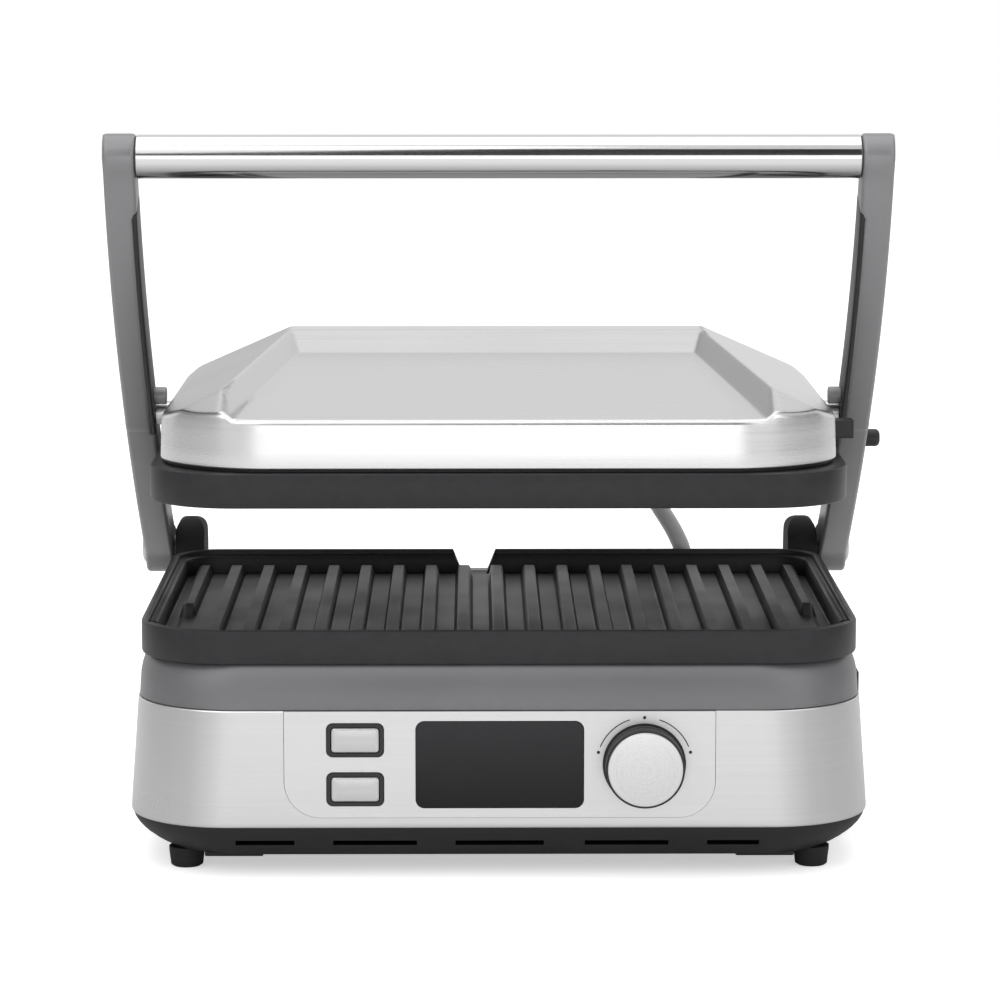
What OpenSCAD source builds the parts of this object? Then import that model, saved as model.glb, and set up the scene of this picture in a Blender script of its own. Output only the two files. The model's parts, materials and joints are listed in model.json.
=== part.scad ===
// Contact grill with a floating lid that hangs between two curved arms.
// Millimetres, X to the right, Y to the rear, Z up. The origin is on the
// worktop, under the middle of the base.

/* [Base] */
// Width of the base where the front panel ends below
base_w = 331; // [318:1:350]
// Depth of the base from the front panel to the rear wall
base_d = 280; // [270:1:300]
// Radius of the two front corners of the base
base_front_r = 46; // [38:1:54]
// Radius of the two rear corners of the base
base_rear_r = 24; // [18:1:30]
// Height of the worktop feet under the tray
foot_h = 9; // [7:0.5:13]
// Diameter of a foot at its top
foot_d = 16; // [12:1:22]
// Distance of a foot's middle from the base's side
foot_in = 25.5; // [24:0.5:50]
// Height of the dark bottom tray
tray_h = 15; // [12:1:20]
// How far the tray draws in towards its floor
tray_draw = 15; // [8:1:18]
// Wall of the bottom tray
tray_t = 2.4; // [1.8:0.2:3]
// Height of the steel front panel
panel_h = 52.4; // [50:0.5:58]
// How far each flank leans in over the panel's height
flank_lean = 3.8; // [1:0.2:6]
// Height of the grey band above the panel
band_h = 19.6; // [17:0.5:24]
// How far the band's upper edge is drawn in under the plate
band_tuck = 4.2; // [1:0.2:5]
// Wall of the grey shell
shell_t = 2.4; // [2:0.2:3]
// Thickness of the steel front panel
panel_t = 1.2; // [0.8:0.1:1.6]
// Length of the panel's ends along the flanks, from the front
panel_wrap = 48; // [47:1:52]
// Width of a vent slot in the tray's front
vent_w = 37; // [20:1:40]
// Height of a vent slot
vent_h = 2.6; // [1.5:0.1:3]

/* [Front controls] */
// Width of the control plate
control_w = 189; // [184:1:200]
// Height of the control plate
control_h = 47.4; // [46:0.2:49]
// Radius of its lower corners
control_r = 16; // [6:1:18]
// Width of the display window
display_w = 73.4; // [60:0.2:76]
// Height of the display window
display_h = 38.4; // [30:0.2:39]
// Distance of the buttons and of the dial from the middle
control_x = 63.4; // [61:0.2:66]
// Width of a button's frame
button_w = 24.9; // [20:0.1:27]
// Height of a button's frame
button_h = 14.7; // [11:0.1:16]
// Distance between the two buttons' middles
button_pitch = 21.9; // [18:0.1:23]
// Wall of a button's frame
bezel_t = 1.6; // [1:0.1:2.4]
// How far a button travels
button_travel = 1.2; // [0.6:0.1:1.2]
// Diameter of the dial
dial_d = 34.6; // [28:0.2:37]
// Height of the dial off the panel
dial_h = 10.6; // [8:0.2:14]
// How far the dial can be pushed
dial_travel = 1.2; // [0.6:0.1:1.2]
// Diameter of the dial's shaft
shaft_d = 6; // [5:0.5:7]

/* [Grill plates] */
// Width of the lower plate
plate_w = 320; // [310:1:324]
// Height of the lower plate's outer wall
plate_h = 15; // [13:0.5:18]
// Set-back of the plate's front from the panel
plate_setback = 6; // [5:0.5:8]
// Width of the plate's raised rim
rim_t = 7; // [5:0.5:8]
// Thickness of the plate's floor
floor_t = 4.6; // [3.6:0.2:5]
// Height of a rib above the floor
rib_h = 5.2; // [4:0.2:6]
// Distance from rib to rib
rib_pitch = 16; // [14:0.5:17]
// Number of ribs across
rib_count = 19; // [15:2:19]
// How much shorter the outermost ribs are at the front
short_rib = 82; // [40:2:100]
// Width of a rib at its foot
rib_foot = 9; // [7:0.5:10]
// Width of a rib at its top
rib_top = 4.6; // [3:0.2:5]
// Width of the grease outlet in the rear wall
drain_w = 18; // [12:1:22]
// Sideways place of the grease outlet
drain_x = -11; // [-30:1:10]
// Width of the upper plate
upper_w = 315; // [308:1:318]
// Depth of the upper plate
upper_d = 236; // [230:1:237]
// Height of the upper plate's outer wall
upper_h = 15.5; // [13:0.5:17]

/* [Hinge, arms and handle] */
// Radius of the hinge towers behind the plate
tower_r = 16; // [14:0.5:18]
// Thickness of a hinge tower
tower_t = 14.5; // [12:0.5:16]
// Height of the hinge axis below the plate's top
hinge_drop = 2; // [0:0.5:4]
// Diameter of the hinge pins
hinge_d = 8; // [6:0.5:10]
// Thickness of an arm
arm_t = 14.2; // [12:0.2:16]
// Width of an arm seen from the side
arm_w = 18; // [15:0.5:20]
// Distance of the handle in front of the hinge axis
handle_reach = 204; // [190:1:215]
// Height of the handle above the hinge axis
handle_rise = 206.5; // [190:0.5:215]
// Slope of the arm at the handle, in degrees
arm_top_angle = 70; // [64:1:76]
// Slope of the arm at the hinge, in degrees
arm_foot_angle = 33; // [28:1:38]
// Diameter of the handle tube
handle_d = 19.6; // [18:0.2:22]
// Wall of the handle tube
handle_wall = 1.4; // [1:0.1:2]
// Distance of the lid's pivot in front of the hinge axis
pivot_reach = 109; // [106:0.5:112]
// Height of the lid's pivot above the hinge axis
pivot_rise = 81; // [79:0.5:83]
// Diameter of the lid's pivot pins
pivot_d = 8; // [6:0.5:9]
// Thickness of the dark liner on an arm's inner side
liner_t = 1.6; // [1:0.2:2.2]
// Diameter of the lock knob
knob_d = 8.4; // [7:0.2:10]
// Length of the lock knob
knob_l = 7; // [6:0.2:7.4]

/* [Lid] */
// Height of the floating lid above its closed place
lid_lift = 49.8; // [45:0.2:52]
// Gap between the closed plates
close_gap = 0.5; // [0.4:0.1:1]
// How far the cover stands in from the upper plate's edge
cover_in = 3.8; // [3:0.2:5]
// Height of the cover's upright skirt
skirt_h = 20; // [17:0.5:23]
// Radius of the skirt's front corners
skirt_r = 50; // [42:1:56]
// Height of the ridge above the skirt
ridge_h = 24.4; // [20:0.2:28]
// Length of the ridge across the lid
ridge_w = 200; // [180:2:220]
// Distance of the ridge's front from the lid's rear edge
ridge_in = 37; // [28:1:44]
// Depth of the ridge from front to rear
ridge_d = 20; // [12:1:26]
// Length over the bends at the ridge's ends
knee_w = 218; // [204:2:240]
// Height of those bends above the skirt
knee_h = 22.8; // [18:0.2:26]
// Length over the hips beside the lid's pivots
hip_w = 292; // [270:2:298]
// Height of the hips above the skirt
hip_h = 10; // [6:0.5:14]
// Width of the sunk field at its front edge
field_w = 234; // [200:2:250]
// Width of the sunk field at its rear edge
field_rear_w = 178; // [150:2:200]
// Width of the field's opening at the ridge
field_rim_w = 212; // [180:2:216]
// Height of the field's rear edge above the skirt
field_h = 15.4; // [12:0.2:17]
// Distance of the field's front edge from the lid's front edge
field_lip = 3.5; // [2:0.5:8]
// Distance of the field's rear edge from the lid's rear edge
field_in = 62; // [52:1:70]
// Wall of the lid's steel cover
cover_t = 1.2; // [0.8:0.1:1.6]

/* [Drip tray and leads] */
// Width of the drip tray
drip_w = 116; // [90:2:130]
// Length of the drip tray
drip_l = 78; // [60:1:84]
// Height of the drip tray
drip_h = 18; // [14:1:22]
// Wall of the drip tray
drip_t = 1.8; // [1.4:0.1:2.4]
// Diameter of the lead between base and lid
lead_d = 8.6; // [7:0.2:9]

/* [Clearances] */
// Gap between pieces that are fitted to each other
fit = 0.3; // [0.25:0.05:0.4]
// Gap round a turning pin, on the radius
run = 0.05; // [0.03:0.01:0.08]
// Gap round a pressed pin, on the radius
press = 0.02; // [0.01:0.01:0.03]
// Gap between the towers and the arms
side_gap = 1; // [0.8:0.1:1.4]

/* [Hidden] */
$fn = 48;
hull_fn = 32;
skin = 0.01;
bite = 1;

// heights
tray_z = foot_h;
panel_z = foot_h + tray_h;
band_z = panel_z + panel_h;
deck_z = band_z + band_h;
plate_top = deck_z + plate_h;
deck_t = 3.2;
// places in depth
front_y = -base_d / 2;
rear_y = base_d / 2;
hinge_y = rear_y - tower_r;
hinge_z = plate_top - hinge_drop;
plate_front = front_y + plate_setback;
plate_gap = 1;
plate_rear = hinge_y - tower_r - plate_gap;
plate_y = (plate_front + plate_rear) / 2;
plate_d = plate_rear - plate_front;
plate_front_r = base_front_r - plate_setback;
plate_rear_r = 22;
// arms
// the arms clear the wider of the two plates
lower_side_gap = 1.3;
upper_side_gap = 3.8;
arm_in = max(plate_w / 2 + lower_side_gap, upper_w / 2 + upper_side_gap);
arm_out = arm_in + arm_t;
tower_out = arm_in - side_gap;
tower_in = tower_out - tower_t;
handle_y = hinge_y - handle_reach;
handle_z = hinge_z + handle_rise;
hub_r = 12;
grip_r = handle_d / 2 + 0.6;
// lid
pivot_y = hinge_y - pivot_reach;
pivot_z = hinge_z + pivot_rise;
lid_z = plate_top + close_gap + lid_lift;
pivot_radius = norm([pivot_reach, pivot_rise]);
lid_shift = round(10 * (sqrt(pow(pivot_radius, 2) - pow(pivot_rise - lid_lift, 2)) - pivot_reach)) / 10;
lid_y = plate_y + lid_shift;
cover_x = upper_w / 2 - cover_in;
cover_front = lid_y - upper_d / 2 + cover_in;
cover_rear = lid_y + upper_d / 2 - cover_in;
cover_z = lid_z + upper_h + 1.4;
skirt_z = cover_z + skirt_h;
ridge_front = cover_rear - ridge_in;
field_front = cover_front + field_lip;
field_rear = cover_rear - field_in;
// how far a side wall of the field leans out for each millimetre up, so that it
// runs from the floor's corner to the rim's corner at the ridge
field_turn = (ridge_front - field_rear) / (field_rear - field_front);
wall_lean = (field_rim_w - field_rear_w + field_turn * (field_w - field_rear_w)) / 2
    / (ridge_h - field_h - field_turn * field_h);
field_open = 12;
field_over = 1.5;
// controls, whose middle height is that of the control plate
control_top = band_z;
control_mid = control_top - control_h / 2;
plate_face = 0.6;
plate_back = 1.0;
carrier_t = 5;
carrier_front = front_y + plate_back;
carrier_rear = carrier_front + carrier_t;
board_t = 1.6;
board_y = carrier_rear + 5;
// drip tray
rail_gap = 0.3;
drip_z = panel_z + 2;
drip_y = rear_y - drip_l;
// release buttons
release_l = 16;
release_h = 9.4;
release_travel = 2.5;
release_y = front_y + panel_wrap + 16;
release_z = band_z + 2.2;
upper_release_y = pivot_y - 40;
upper_release_z = cover_z + 9;
upper_release_w = 12;
upper_release_h = 8.4;

// A rounded rectangle from depth y0 to y1, with its own radii at the front
// and at the rear, made of true arcs.
module plan(x, y0, y1, rf, rr) {
    translate([-x, y0 + rf]) square([2 * x, y1 - y0 - rf - rr]);
    translate([rf - x, y0]) square([2 * (x - rf), rf + bite]);
    translate([rr - x, y1 - rr - bite]) square([2 * (x - rr), rr + bite]);
    for (s = [-1, 1]) {
        translate([s * (x - rf), y0 + rf]) circle(rf);
        translate([s * (x - rr), y1 - rr]) circle(rr);
    }
}

// The same outline as a thin slice, for hulls.
module slice(x, y0, y1, rf, rr) {
    linear_extrude(skin) hull() {
        for (s = [-1, 1]) {
            translate([s * (x - rf), y0 + rf]) circle(rf, $fn = hull_fn);
            translate([s * (x - rr), y1 - rr]) circle(rr, $fn = hull_fn);
        }
    }
}

// The base's outline, drawn in by side and front, and by t all round.
module base_slice(side, front, t) {
    slice(base_w / 2 - side - t, front_y + front + t, rear_y - t,
        base_front_r - t, max(base_rear_r - t, 2));
}

// The upright part of the base between two heights, drawn in by t.
module flank(z0, z1, t) {
    lean0 = flank_lean * (z0 - panel_z) / panel_h;
    lean1 = flank_lean * (z1 - panel_z) / panel_h;
    hull() {
        translate([0, 0, z0]) base_slice(lean0, 0, t);
        translate([0, 0, z1 - skin]) base_slice(lean1, 0, t);
    }
}

// The band above the panel, whose upper edge rounds in under the plate.
module band_form(z1, t) {
    ease = 0.5;
    hull() {
        translate([0, 0, band_z]) base_slice(flank_lean + ease, 1.2, t);
        translate([0, 0, deck_z - band_h * 0.45]) base_slice(flank_lean + 2 * ease, 3.2, t);
        translate([0, 0, deck_z - band_h * 0.15])
            base_slice(flank_lean + ease + band_tuck * 0.5, 5.6, t);
        translate([0, 0, z1 - skin]) base_slice(flank_lean + band_tuck, 8, t);
    }
}

// The lower plate's outline, drawn in by t.
module plate_plan(t) {
    plan(plate_w / 2 - t, plate_front + t, plate_rear - t,
        max(plate_front_r - t, 3), max(plate_rear_r - t, 3));
}

// The upper plate's outline, drawn in by t.
module upper_plan(t) {
    plan(upper_w / 2 - t, lid_y - upper_d / 2 + t, lid_y + upper_d / 2 - t,
        max(plate_front_r - t, 3), max(plate_rear_r - t, 3));
}

// Raises a flat shape drawn in X and Z off the plane y0 towards the rear.
module on_front(y0, t) {
    translate([0, y0 + t, 0]) rotate([90, 0, 0]) linear_extrude(t) children();
}

// Raises a flat shape drawn in Y and Z off the plane x0 towards +X.
module on_side(x0, t) {
    translate([x0, 0, 0]) rotate([90, 0, 90]) linear_extrude(t) children();
}

// A round bar along X.
module bar_x(x0, x1, y, z, r) {
    translate([x0, y, z]) rotate([0, 90, 0]) cylinder(r = r, h = x1 - x0);
}

// A round bar along Y.
module bar_y(y0, y1, x, z, r) {
    translate([x, y0, z]) rotate([-90, 0, 0]) cylinder(r = r, h = y1 - y0);
}

// A block between two corners.
module block(a, b) {
    translate(a) cube(b - a);
}

// A small rounded rectangle in the middle of the drawing plane.
module pad(w, h, r) {
    square([w - 2 * r, h], center = true);
    square([w, h - 2 * r], center = true);
    for (sx = [-1, 1])
        for (sy = [-1, 1])
            translate([sx * (w / 2 - r), sy * (h / 2 - r)]) circle(r);
}

// ---------------------------------------------------------------- base

vent_x = [-103.5, -52, 0, 52, 103.5];
vent_z = tray_z + tray_h * 0.48;
screw_in = 21.5;
screw_x = base_w / 2 - screw_in;
front_screw_in = 74;
rear_screw_in = 42;
screw_y = [front_y + front_screw_in, rear_y - rear_screw_in];
screw_bite = 26;
foot_x = base_w / 2 - foot_in;
foot_y = [front_y + 34, rear_y - 30];
screw_r = 2;
boss_r = 4.6;
boss_h = 34;
stem_r = 3;

module at_feet() {
    for (s = [-1, 1])
        for (y = foot_y)
            translate([s * foot_x, y, 0]) children();
}

module at_screws() {
    for (s = [-1, 1])
        for (y = screw_y)
            translate([s * screw_x, y, 0]) children();
}

module tray_form(t) {
    hull() {
        translate([0, 0, tray_z + t])
            slice(base_w / 2 - tray_draw - t, front_y + tray_draw + t, rear_y - 8 - t, 34, 20);
        translate([0, 0, panel_z - skin])
            slice(base_w / 2 - 0.8 - t, front_y + 0.8 + t, rear_y - 0.6 - t, 45, 23);
    }
}

module bottom_tray() {
    skid_h = 1.6;
    skid_x = base_w / 2 - 47.5;
    color("#232427") difference() {
        union() {
            difference() {
                tray_form(0);
                tray_form(tray_t);
            }
            for (s = [-1, 1])
                block([s * skid_x - 13, foot_y[0] - 16, tray_z - skid_h],
                    [s * skid_x + 13, foot_y[1] + 10, tray_z + bite]);
            at_screws() translate([0, 0, tray_z]) cylinder(r = boss_r + 1, h = tray_h);
            for (s = [-1, 1])
                block([s * 40 - 3, drip_y + 2, tray_z + tray_t / 2],
                    [s * 40 + 3, rear_y - 14, drip_z - rail_gap]);
            for (x = [post_in, power_w - post_in])
                for (y = [post_in, power_d - post_in])
                    translate([power_in - base_w / 2 + x, power_y + y, tray_z + tray_t / 2])
                        cylinder(r = 3.5, h = post_h);
        }
        for (x = vent_x)
            block([x - vent_w / 2, front_y - bite, vent_z - vent_h / 2],
                [x + vent_w / 2, front_y + 30, vent_z + vent_h / 2]);
        at_feet() translate([0, 0, tray_z - bite]) cylinder(r = stem_r + fit, h = tray_t + 2 * bite);
        at_screws() translate([0, 0, tray_z - bite]) cylinder(r = screw_r + fit, h = tray_h + 2 * bite);
        at_screws() translate([0, 0, tray_z - bite]) cylinder(r = 4 + fit, h = 3 + bite);
    }
}

module feet() {
    color("#1b1b1c") at_feet() rotate_extrude() polygon([
        [0, 0], [foot_d / 2 - 2, 0], [foot_d / 2 - 0.8, 0.8], [foot_d / 2, tray_z - 1.5],
        [foot_d / 2, tray_z], [stem_r, tray_z], [stem_r, tray_z + tray_t + 1.6], [0, tray_z + tray_t + 1.6]
    ]);
}

deck_rim = 4.5;
deck_x = base_w / 2 - flank_lean - band_tuck;
deck_step = max(7, plate_w / 2 - deck_x + deck_rim);
deck_open = deck_step + 4;
flange_t = 1;
chute_w = drain_w + 10;
chute_y0 = plate_rear + 3;
chute_y1 = rear_y - 12;
inlet_in = 57.5;
inlet_x = base_w / 2 - inlet_in;
inlet_z = panel_z + 22;
gland_x = 95;
gland_y = rear_y - 10;

module control_outline(t) {
    x = control_w / 2 - t;
    z0 = control_top - control_h + t;
    r = max(control_r - t, 1);
    translate([-x, z0 + r]) square([2 * x, control_h - t - r]);
    translate([r - x, z0]) square([2 * (x - r), r + bite]);
    for (s = [-1, 1])
        translate([s * (x - r), z0 + r]) circle(r);
}

core_x = base_w / 2 - flank_lean - panel_t - fit;
core_y = front_y + panel_t + fit;

module release_slot() {
    block([base_w / 2 - 30, release_y - release_l / 2 - fit, release_z - release_h / 2 - fit],
        [base_w / 2 + bite, release_y + release_l / 2 + fit, release_z + release_h / 2 + fit]);
}

// Housing behind the steel panel, whose flanks show behind the panel's ends.
module base_shell() {
    color("#6f7073") difference() {
        union() {
            difference() {
                union() {
                    translate([0, 0, panel_z]) linear_extrude(panel_h)
                        plan(core_x, core_y, rear_y - 4, base_front_r - panel_t - fit, base_rear_r - 4);
                    intersection() {
                        flank(panel_z, band_z, 0);
                        block([-base_w, front_y + panel_wrap + fit, panel_z - bite],
                            [base_w, rear_y + bite, band_z + bite]);
                    }
                }
                translate([0, 0, panel_z - bite]) linear_extrude(panel_h + 2 * bite)
                    plan(core_x - shell_t, core_y + shell_t, rear_y - 7, base_front_r - 4, base_rear_r - 6);
            }
            at_screws() translate([0, 0, panel_z]) cylinder(r = boss_r, h = boss_h);
            for (s = [-1, 1])
                for (y = screw_y)
                    block([s > 0 ? screw_x : 6 - base_w / 2, y - 1.5, panel_z + 2],
                        [s > 0 ? base_w / 2 - 6 : -screw_x, y + 1.5, panel_z + boss_h]);
        }
        at_screws() translate([0, 0, panel_z - bite]) cylinder(r = screw_r + press, h = screw_bite + 4);
        // opening behind the control plate
        on_front(front_y - bite, 12) control_outline(3);
        // drip tray, supply inlet, lower release button
        block([drain_x - drip_w / 2 - fit, drip_y, drip_z - fit],
            [drain_x + drip_w / 2 + fit, rear_y + bite, drip_z + drip_h + fit]);
        bar_y(rear_y - 12, rear_y + bite, inlet_x, inlet_z, 6.5 + fit);
        release_slot();
    }
}

// Grey band over the housing, closed by the deck that carries plate and towers.
module deck_band() {
    color("#6f7073") difference() {
        band_form(deck_z, 0);
        translate([0, 0, band_z - bite]) linear_extrude(band_h - deck_t + bite)
            plan(core_x - 3.6, core_y + shell_t + 3.6, rear_y - 11, base_front_r - 6, base_rear_r - 8);
        // openings for the heat tray under the plate
        translate([0, 0, deck_z - flange_t - fit / 2]) linear_extrude(deck_t) plate_plan(deck_step);
        translate([0, 0, deck_z - 2 * deck_t]) linear_extrude(3 * deck_t) plate_plan(deck_open);
        // grease chute and lead to the lid
        block([drain_x - chute_w / 2 - fit, chute_y0 - fit, deck_z - 2 * deck_t],
            [drain_x + chute_w / 2 + fit, chute_y1 + fit, deck_z + bite]);
        translate([gland_x, gland_y, deck_z - 2 * deck_t]) cylinder(r = 5 + fit, h = 3 * deck_t);
        release_slot();
    }
}

module front_fascia() {
    color("#c9cacb") difference() {
        intersection() {
            difference() {
                flank(panel_z, band_z, 0);
                flank(panel_z - bite, band_z + bite, panel_t);
            }
            block([-base_w, front_y - bite, panel_z - bite], [base_w, front_y + panel_wrap, band_z + bite]);
        }
        on_front(front_y - bite, 8) control_outline(-fit);
        block([-control_w / 2 - fit, front_y - bite, band_z - 2],
            [control_w / 2 + fit, front_y + 8, band_z + bite]);
    }
}

module at_buttons() {
    for (s = [-1, 1])
        translate([-control_x, control_mid + s * button_pitch / 2]) children();
}

module control_plate() {
    color("#cfd0d1") on_front(front_y - plate_face, plate_face + plate_back) difference() {
        control_outline(0);
        translate([0, control_mid]) pad(display_w + 2 * fit, display_h + 2 * fit, 4);
        at_buttons() pad(button_w + 2 * fit, button_h + 2 * fit, 3);
        translate([control_x, control_mid]) circle(shaft_d / 2 + 2.4);
    }
}

module control_carrier() {
    lens_land = 2.6;
    color("#1f2022") difference() {
        union() {
            on_front(carrier_front, carrier_t) intersection() {
                control_outline(3 + fit);
                translate([-control_w, 0]) square([2 * control_w, control_top - 1]);
            }
            on_front(front_y + panel_t + shell_t + fit, carrier_rear - front_y - panel_t - shell_t - fit)
                intersection() {
                    control_outline(-2);
                    translate([-control_w, 0]) square([2 * control_w, control_top - 1]);
                }
            for (s = [-1, 1])
                for (z = [-1, 1])
                    bar_y(carrier_rear - bite, board_y, s * (control_w / 2 - 12), control_mid + z * 12, 3);
        }
        on_front(carrier_front - bite, carrier_t + 2 * bite) {
            translate([0, control_mid]) pad(display_w - 2 * lens_land, display_h - 2 * lens_land, 1);
            at_buttons() pad(button_w - 2 * bezel_t, button_h - 2 * bezel_t, 2);
        }
        bar_y(carrier_front - bite, carrier_rear + bite, control_x, control_mid, shaft_d / 2 + 2 + fit);
    }
}

module button_bezels() {
    color("#2a2b2d") on_front(front_y - plate_face - 0.6, plate_face + 0.6 + plate_back)
        at_buttons() difference() {
            pad(button_w, button_h, 2.8);
            pad(button_w - 2 * bezel_t, button_h - 2 * bezel_t, 2);
        }
}

module display_lens() {
    color("#17181a") on_front(front_y - plate_face - 0.2, plate_face + 0.2 + plate_back)
        translate([0, control_mid]) pad(display_w, display_h, 3.8);
}

module display_module() {
    w = display_w - 5.6;
    h = display_h - 5.6;
    color("#3a4a3f") block([-w / 2, carrier_front, control_mid - h / 2],
        [w / 2, carrier_rear + 3, control_mid + h / 2]);
}

module control_board() {
    switch_y = carrier_rear + 1.5 + button_travel + 0.8;
    color("#2f5d3a") {
        block([fit + 6 - control_w / 2, board_y, control_mid - 17],
            [control_w / 2 - 6 - fit, board_y + board_t, control_mid + 17]);
        at_switches(switch_y);
    }
}

module at_switches(y) {
    for (s = [-1, 1])
        block([-control_x - 3, y, control_mid + s * button_pitch / 2 - 3],
            [3 - control_x, board_y + skin, control_mid + s * button_pitch / 2 + 3]);
}

plunger_t = 1.2;
shaft_end = board_y - 3.6 - dial_travel;

module encoder_body() {
    color("#8d9092") difference() {
        union() {
            block([control_x - 7, carrier_rear + 0.4, control_mid - 7],
                [control_x + 7, board_y, control_mid + 7]);
            bar_y(carrier_front - 0.4, carrier_rear + bite, control_x, control_mid, shaft_d / 2 + 2);
        }
        bar_y(carrier_front - bite, board_y - 1.6, control_x, control_mid, shaft_d / 2 + run);
    }
}

// One push button. Its flange behind the carrier keeps it in its frame.
module push_button(z) {
    flange = 0.9;
    slack = bezel_t + fit;
    color("#d9dadb") translate([-control_x, 0, z]) {
        on_front(front_y - plate_face - 1, carrier_rear - front_y + plate_face + 1 + fit + skin)
            pad(button_w - 2 * slack, button_h - 2 * slack, 1.8);
        on_front(carrier_rear + fit, flange) pad(button_w - 2, button_h - 2, 1.8);
    }
}

module upper_button() {
    push_button(control_mid + button_pitch / 2);
}

module lower_button() {
    push_button(control_mid - button_pitch / 2);
}

module encoder_plunger() {
    color("#b9bbbd") bar_y(shaft_end + press, shaft_end + plunger_t, control_x, control_mid, shaft_d / 2);
}

knob_rear = front_y - plate_face - dial_travel - 0.4;

module dial_shaft() {
    color("#b9bbbd") bar_y(knob_rear - dial_h + 3, shaft_end, control_x, control_mid, shaft_d / 2);
}

// Turned dial with a fine step round its rim and a hollow back.
module dial_knob() {
    r = dial_d / 2;
    color("#e4e4e4") translate([control_x, knob_rear, control_mid]) rotate([90, 0, 0]) difference() {
        rotate_extrude($fn = 96) polygon([
            [0, 0], [r - 0.6, 0], [r, 0.6], [r, 3], [r - 0.5, 3.4], [r - 0.8, dial_h - 1.2],
            [r - 1.6, dial_h - 0.3], [r - 2.4, dial_h], [0, dial_h]
        ]);
        difference() {
            translate([0, 0, -bite]) cylinder(r = r - 2, h = dial_h - 2);
            translate([0, 0, -2 * bite]) cylinder(r = 5.5, h = dial_h + bite);
        }
        translate([0, 0, -bite]) cylinder(r = shaft_d / 2 + press, h = dial_h - 3 + bite + press);
    }
}

// ------------------------------------------------------- heat and plates

function rod_ends(x, y) = [[-x, y + rod_pitch], [x, y - rod_pitch]];

// Heating rod: three runs along X joined by round bends, with both ends
// turned down by drop, or up where drop is negative.
rod_r = 3.2;
rod_pitch = 62;
rod_clear = 0.4;
rod_side = rod_pitch / 2 + rod_r + rod_clear;
pan_depth = 15;
pan_t = 0.9;
pan_in = deck_open + 1.5;
upper_pan_in = 8.6;
lower_rod_x = plate_w / 2 - pan_in - pan_t - rod_side;
upper_rod_x = cover_x - upper_pan_in - pan_t - rod_side;
lower_rod_tail = 26;
upper_rod_tail = 16;

module rod_bend(x, y, z, side) {
    translate([x, y, z]) rotate([0, 0, side > 0 ? -90 : 90])
        rotate_extrude(angle = 180) translate([rod_pitch / 2, 0]) circle(rod_r);
}

module heating_rod(x, y, z, drop) {
    bar_x(-x, x, y, z, rod_r);
    bar_x(-x, x, y + rod_pitch, z, rod_r);
    bar_x(-x, x, y - rod_pitch, z, rod_r);
    rod_bend(x, y + rod_pitch / 2, z, 1);
    rod_bend(-x, y - rod_pitch / 2, z, -1);
    for (p = rod_ends(x, y)) {
        translate([p[0], p[1], z]) sphere(rod_r);
        translate([p[0], p[1], min(z, z - drop)]) cylinder(r = rod_r, h = abs(drop));
    }
}

rod_gap = 0.5;
lower_rod_z = deck_z - rod_gap - rod_r;

module lower_reflector() {
    top = deck_z - fit / 2;
    color("#b6b7b8") difference() {
        union() {
            translate([0, 0, top - flange_t]) linear_extrude(flange_t) plate_plan(deck_step + fit);
            translate([0, 0, top - pan_depth]) linear_extrude(pan_depth) plate_plan(pan_in);
        }
        translate([0, 0, top - pan_depth + pan_t]) linear_extrude(pan_depth) plate_plan(pan_in + pan_t);
        for (p = rod_ends(lower_rod_x, plate_y))
            translate([p[0], p[1], top - pan_depth - bite]) cylinder(r = rod_r + fit, h = pan_t + 2 * bite);
    }
}

module lower_element() {
    color("#5b5450") heating_rod(lower_rod_x, plate_y, lower_rod_z, lower_rod_tail);
}

module lower_thermostat() {
    floor_z = deck_z - fit / 2 - pan_depth + pan_t;
    color("#c8a86a") translate([0, plate_y + rod_pitch / 2, floor_z]) {
        cylinder(r = 9, h = 4);
        cylinder(r = 5, h = deck_z - fit - floor_z);
    }
}

// Ribs that run from front to rear, cut to a long outline with sloped ends.
// The two outermost stop short of the front.
module ribs(y0, y1, z, short) {
    for (i = [0:rib_count - 1]) {
        x = (i - (rib_count - 1) / 2) * rib_pitch;
        start = (i == 0 || i == rib_count - 1) ? y0 + short : y0;
        intersection() {
            translate([x, y1, z]) rotate([90, 0, 0]) linear_extrude(y1 - start) polygon([
                [-rib_foot / 2, -bite], [-rib_foot / 2, 0], [-rib_top / 2 - 0.5, rib_h - 0.9],
                [-rib_top / 2 + 0.4, rib_h], [rib_top / 2 - 0.4, rib_h], [rib_top / 2 + 0.5, rib_h - 0.9],
                [rib_foot / 2, 0], [rib_foot / 2, -bite]
            ]);
            on_side(x - rib_foot, 2 * rib_foot) polygon([
                [start, z - bite], [start, z], [start + rib_h, z + rib_h], [y1 - rib_h, z + rib_h],
                [y1, z], [y1, z - bite]
            ]);
        }
    }
}

clip_x = plate_w / 2 - 6.4;
clip_y = plate_front + 34;

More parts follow.
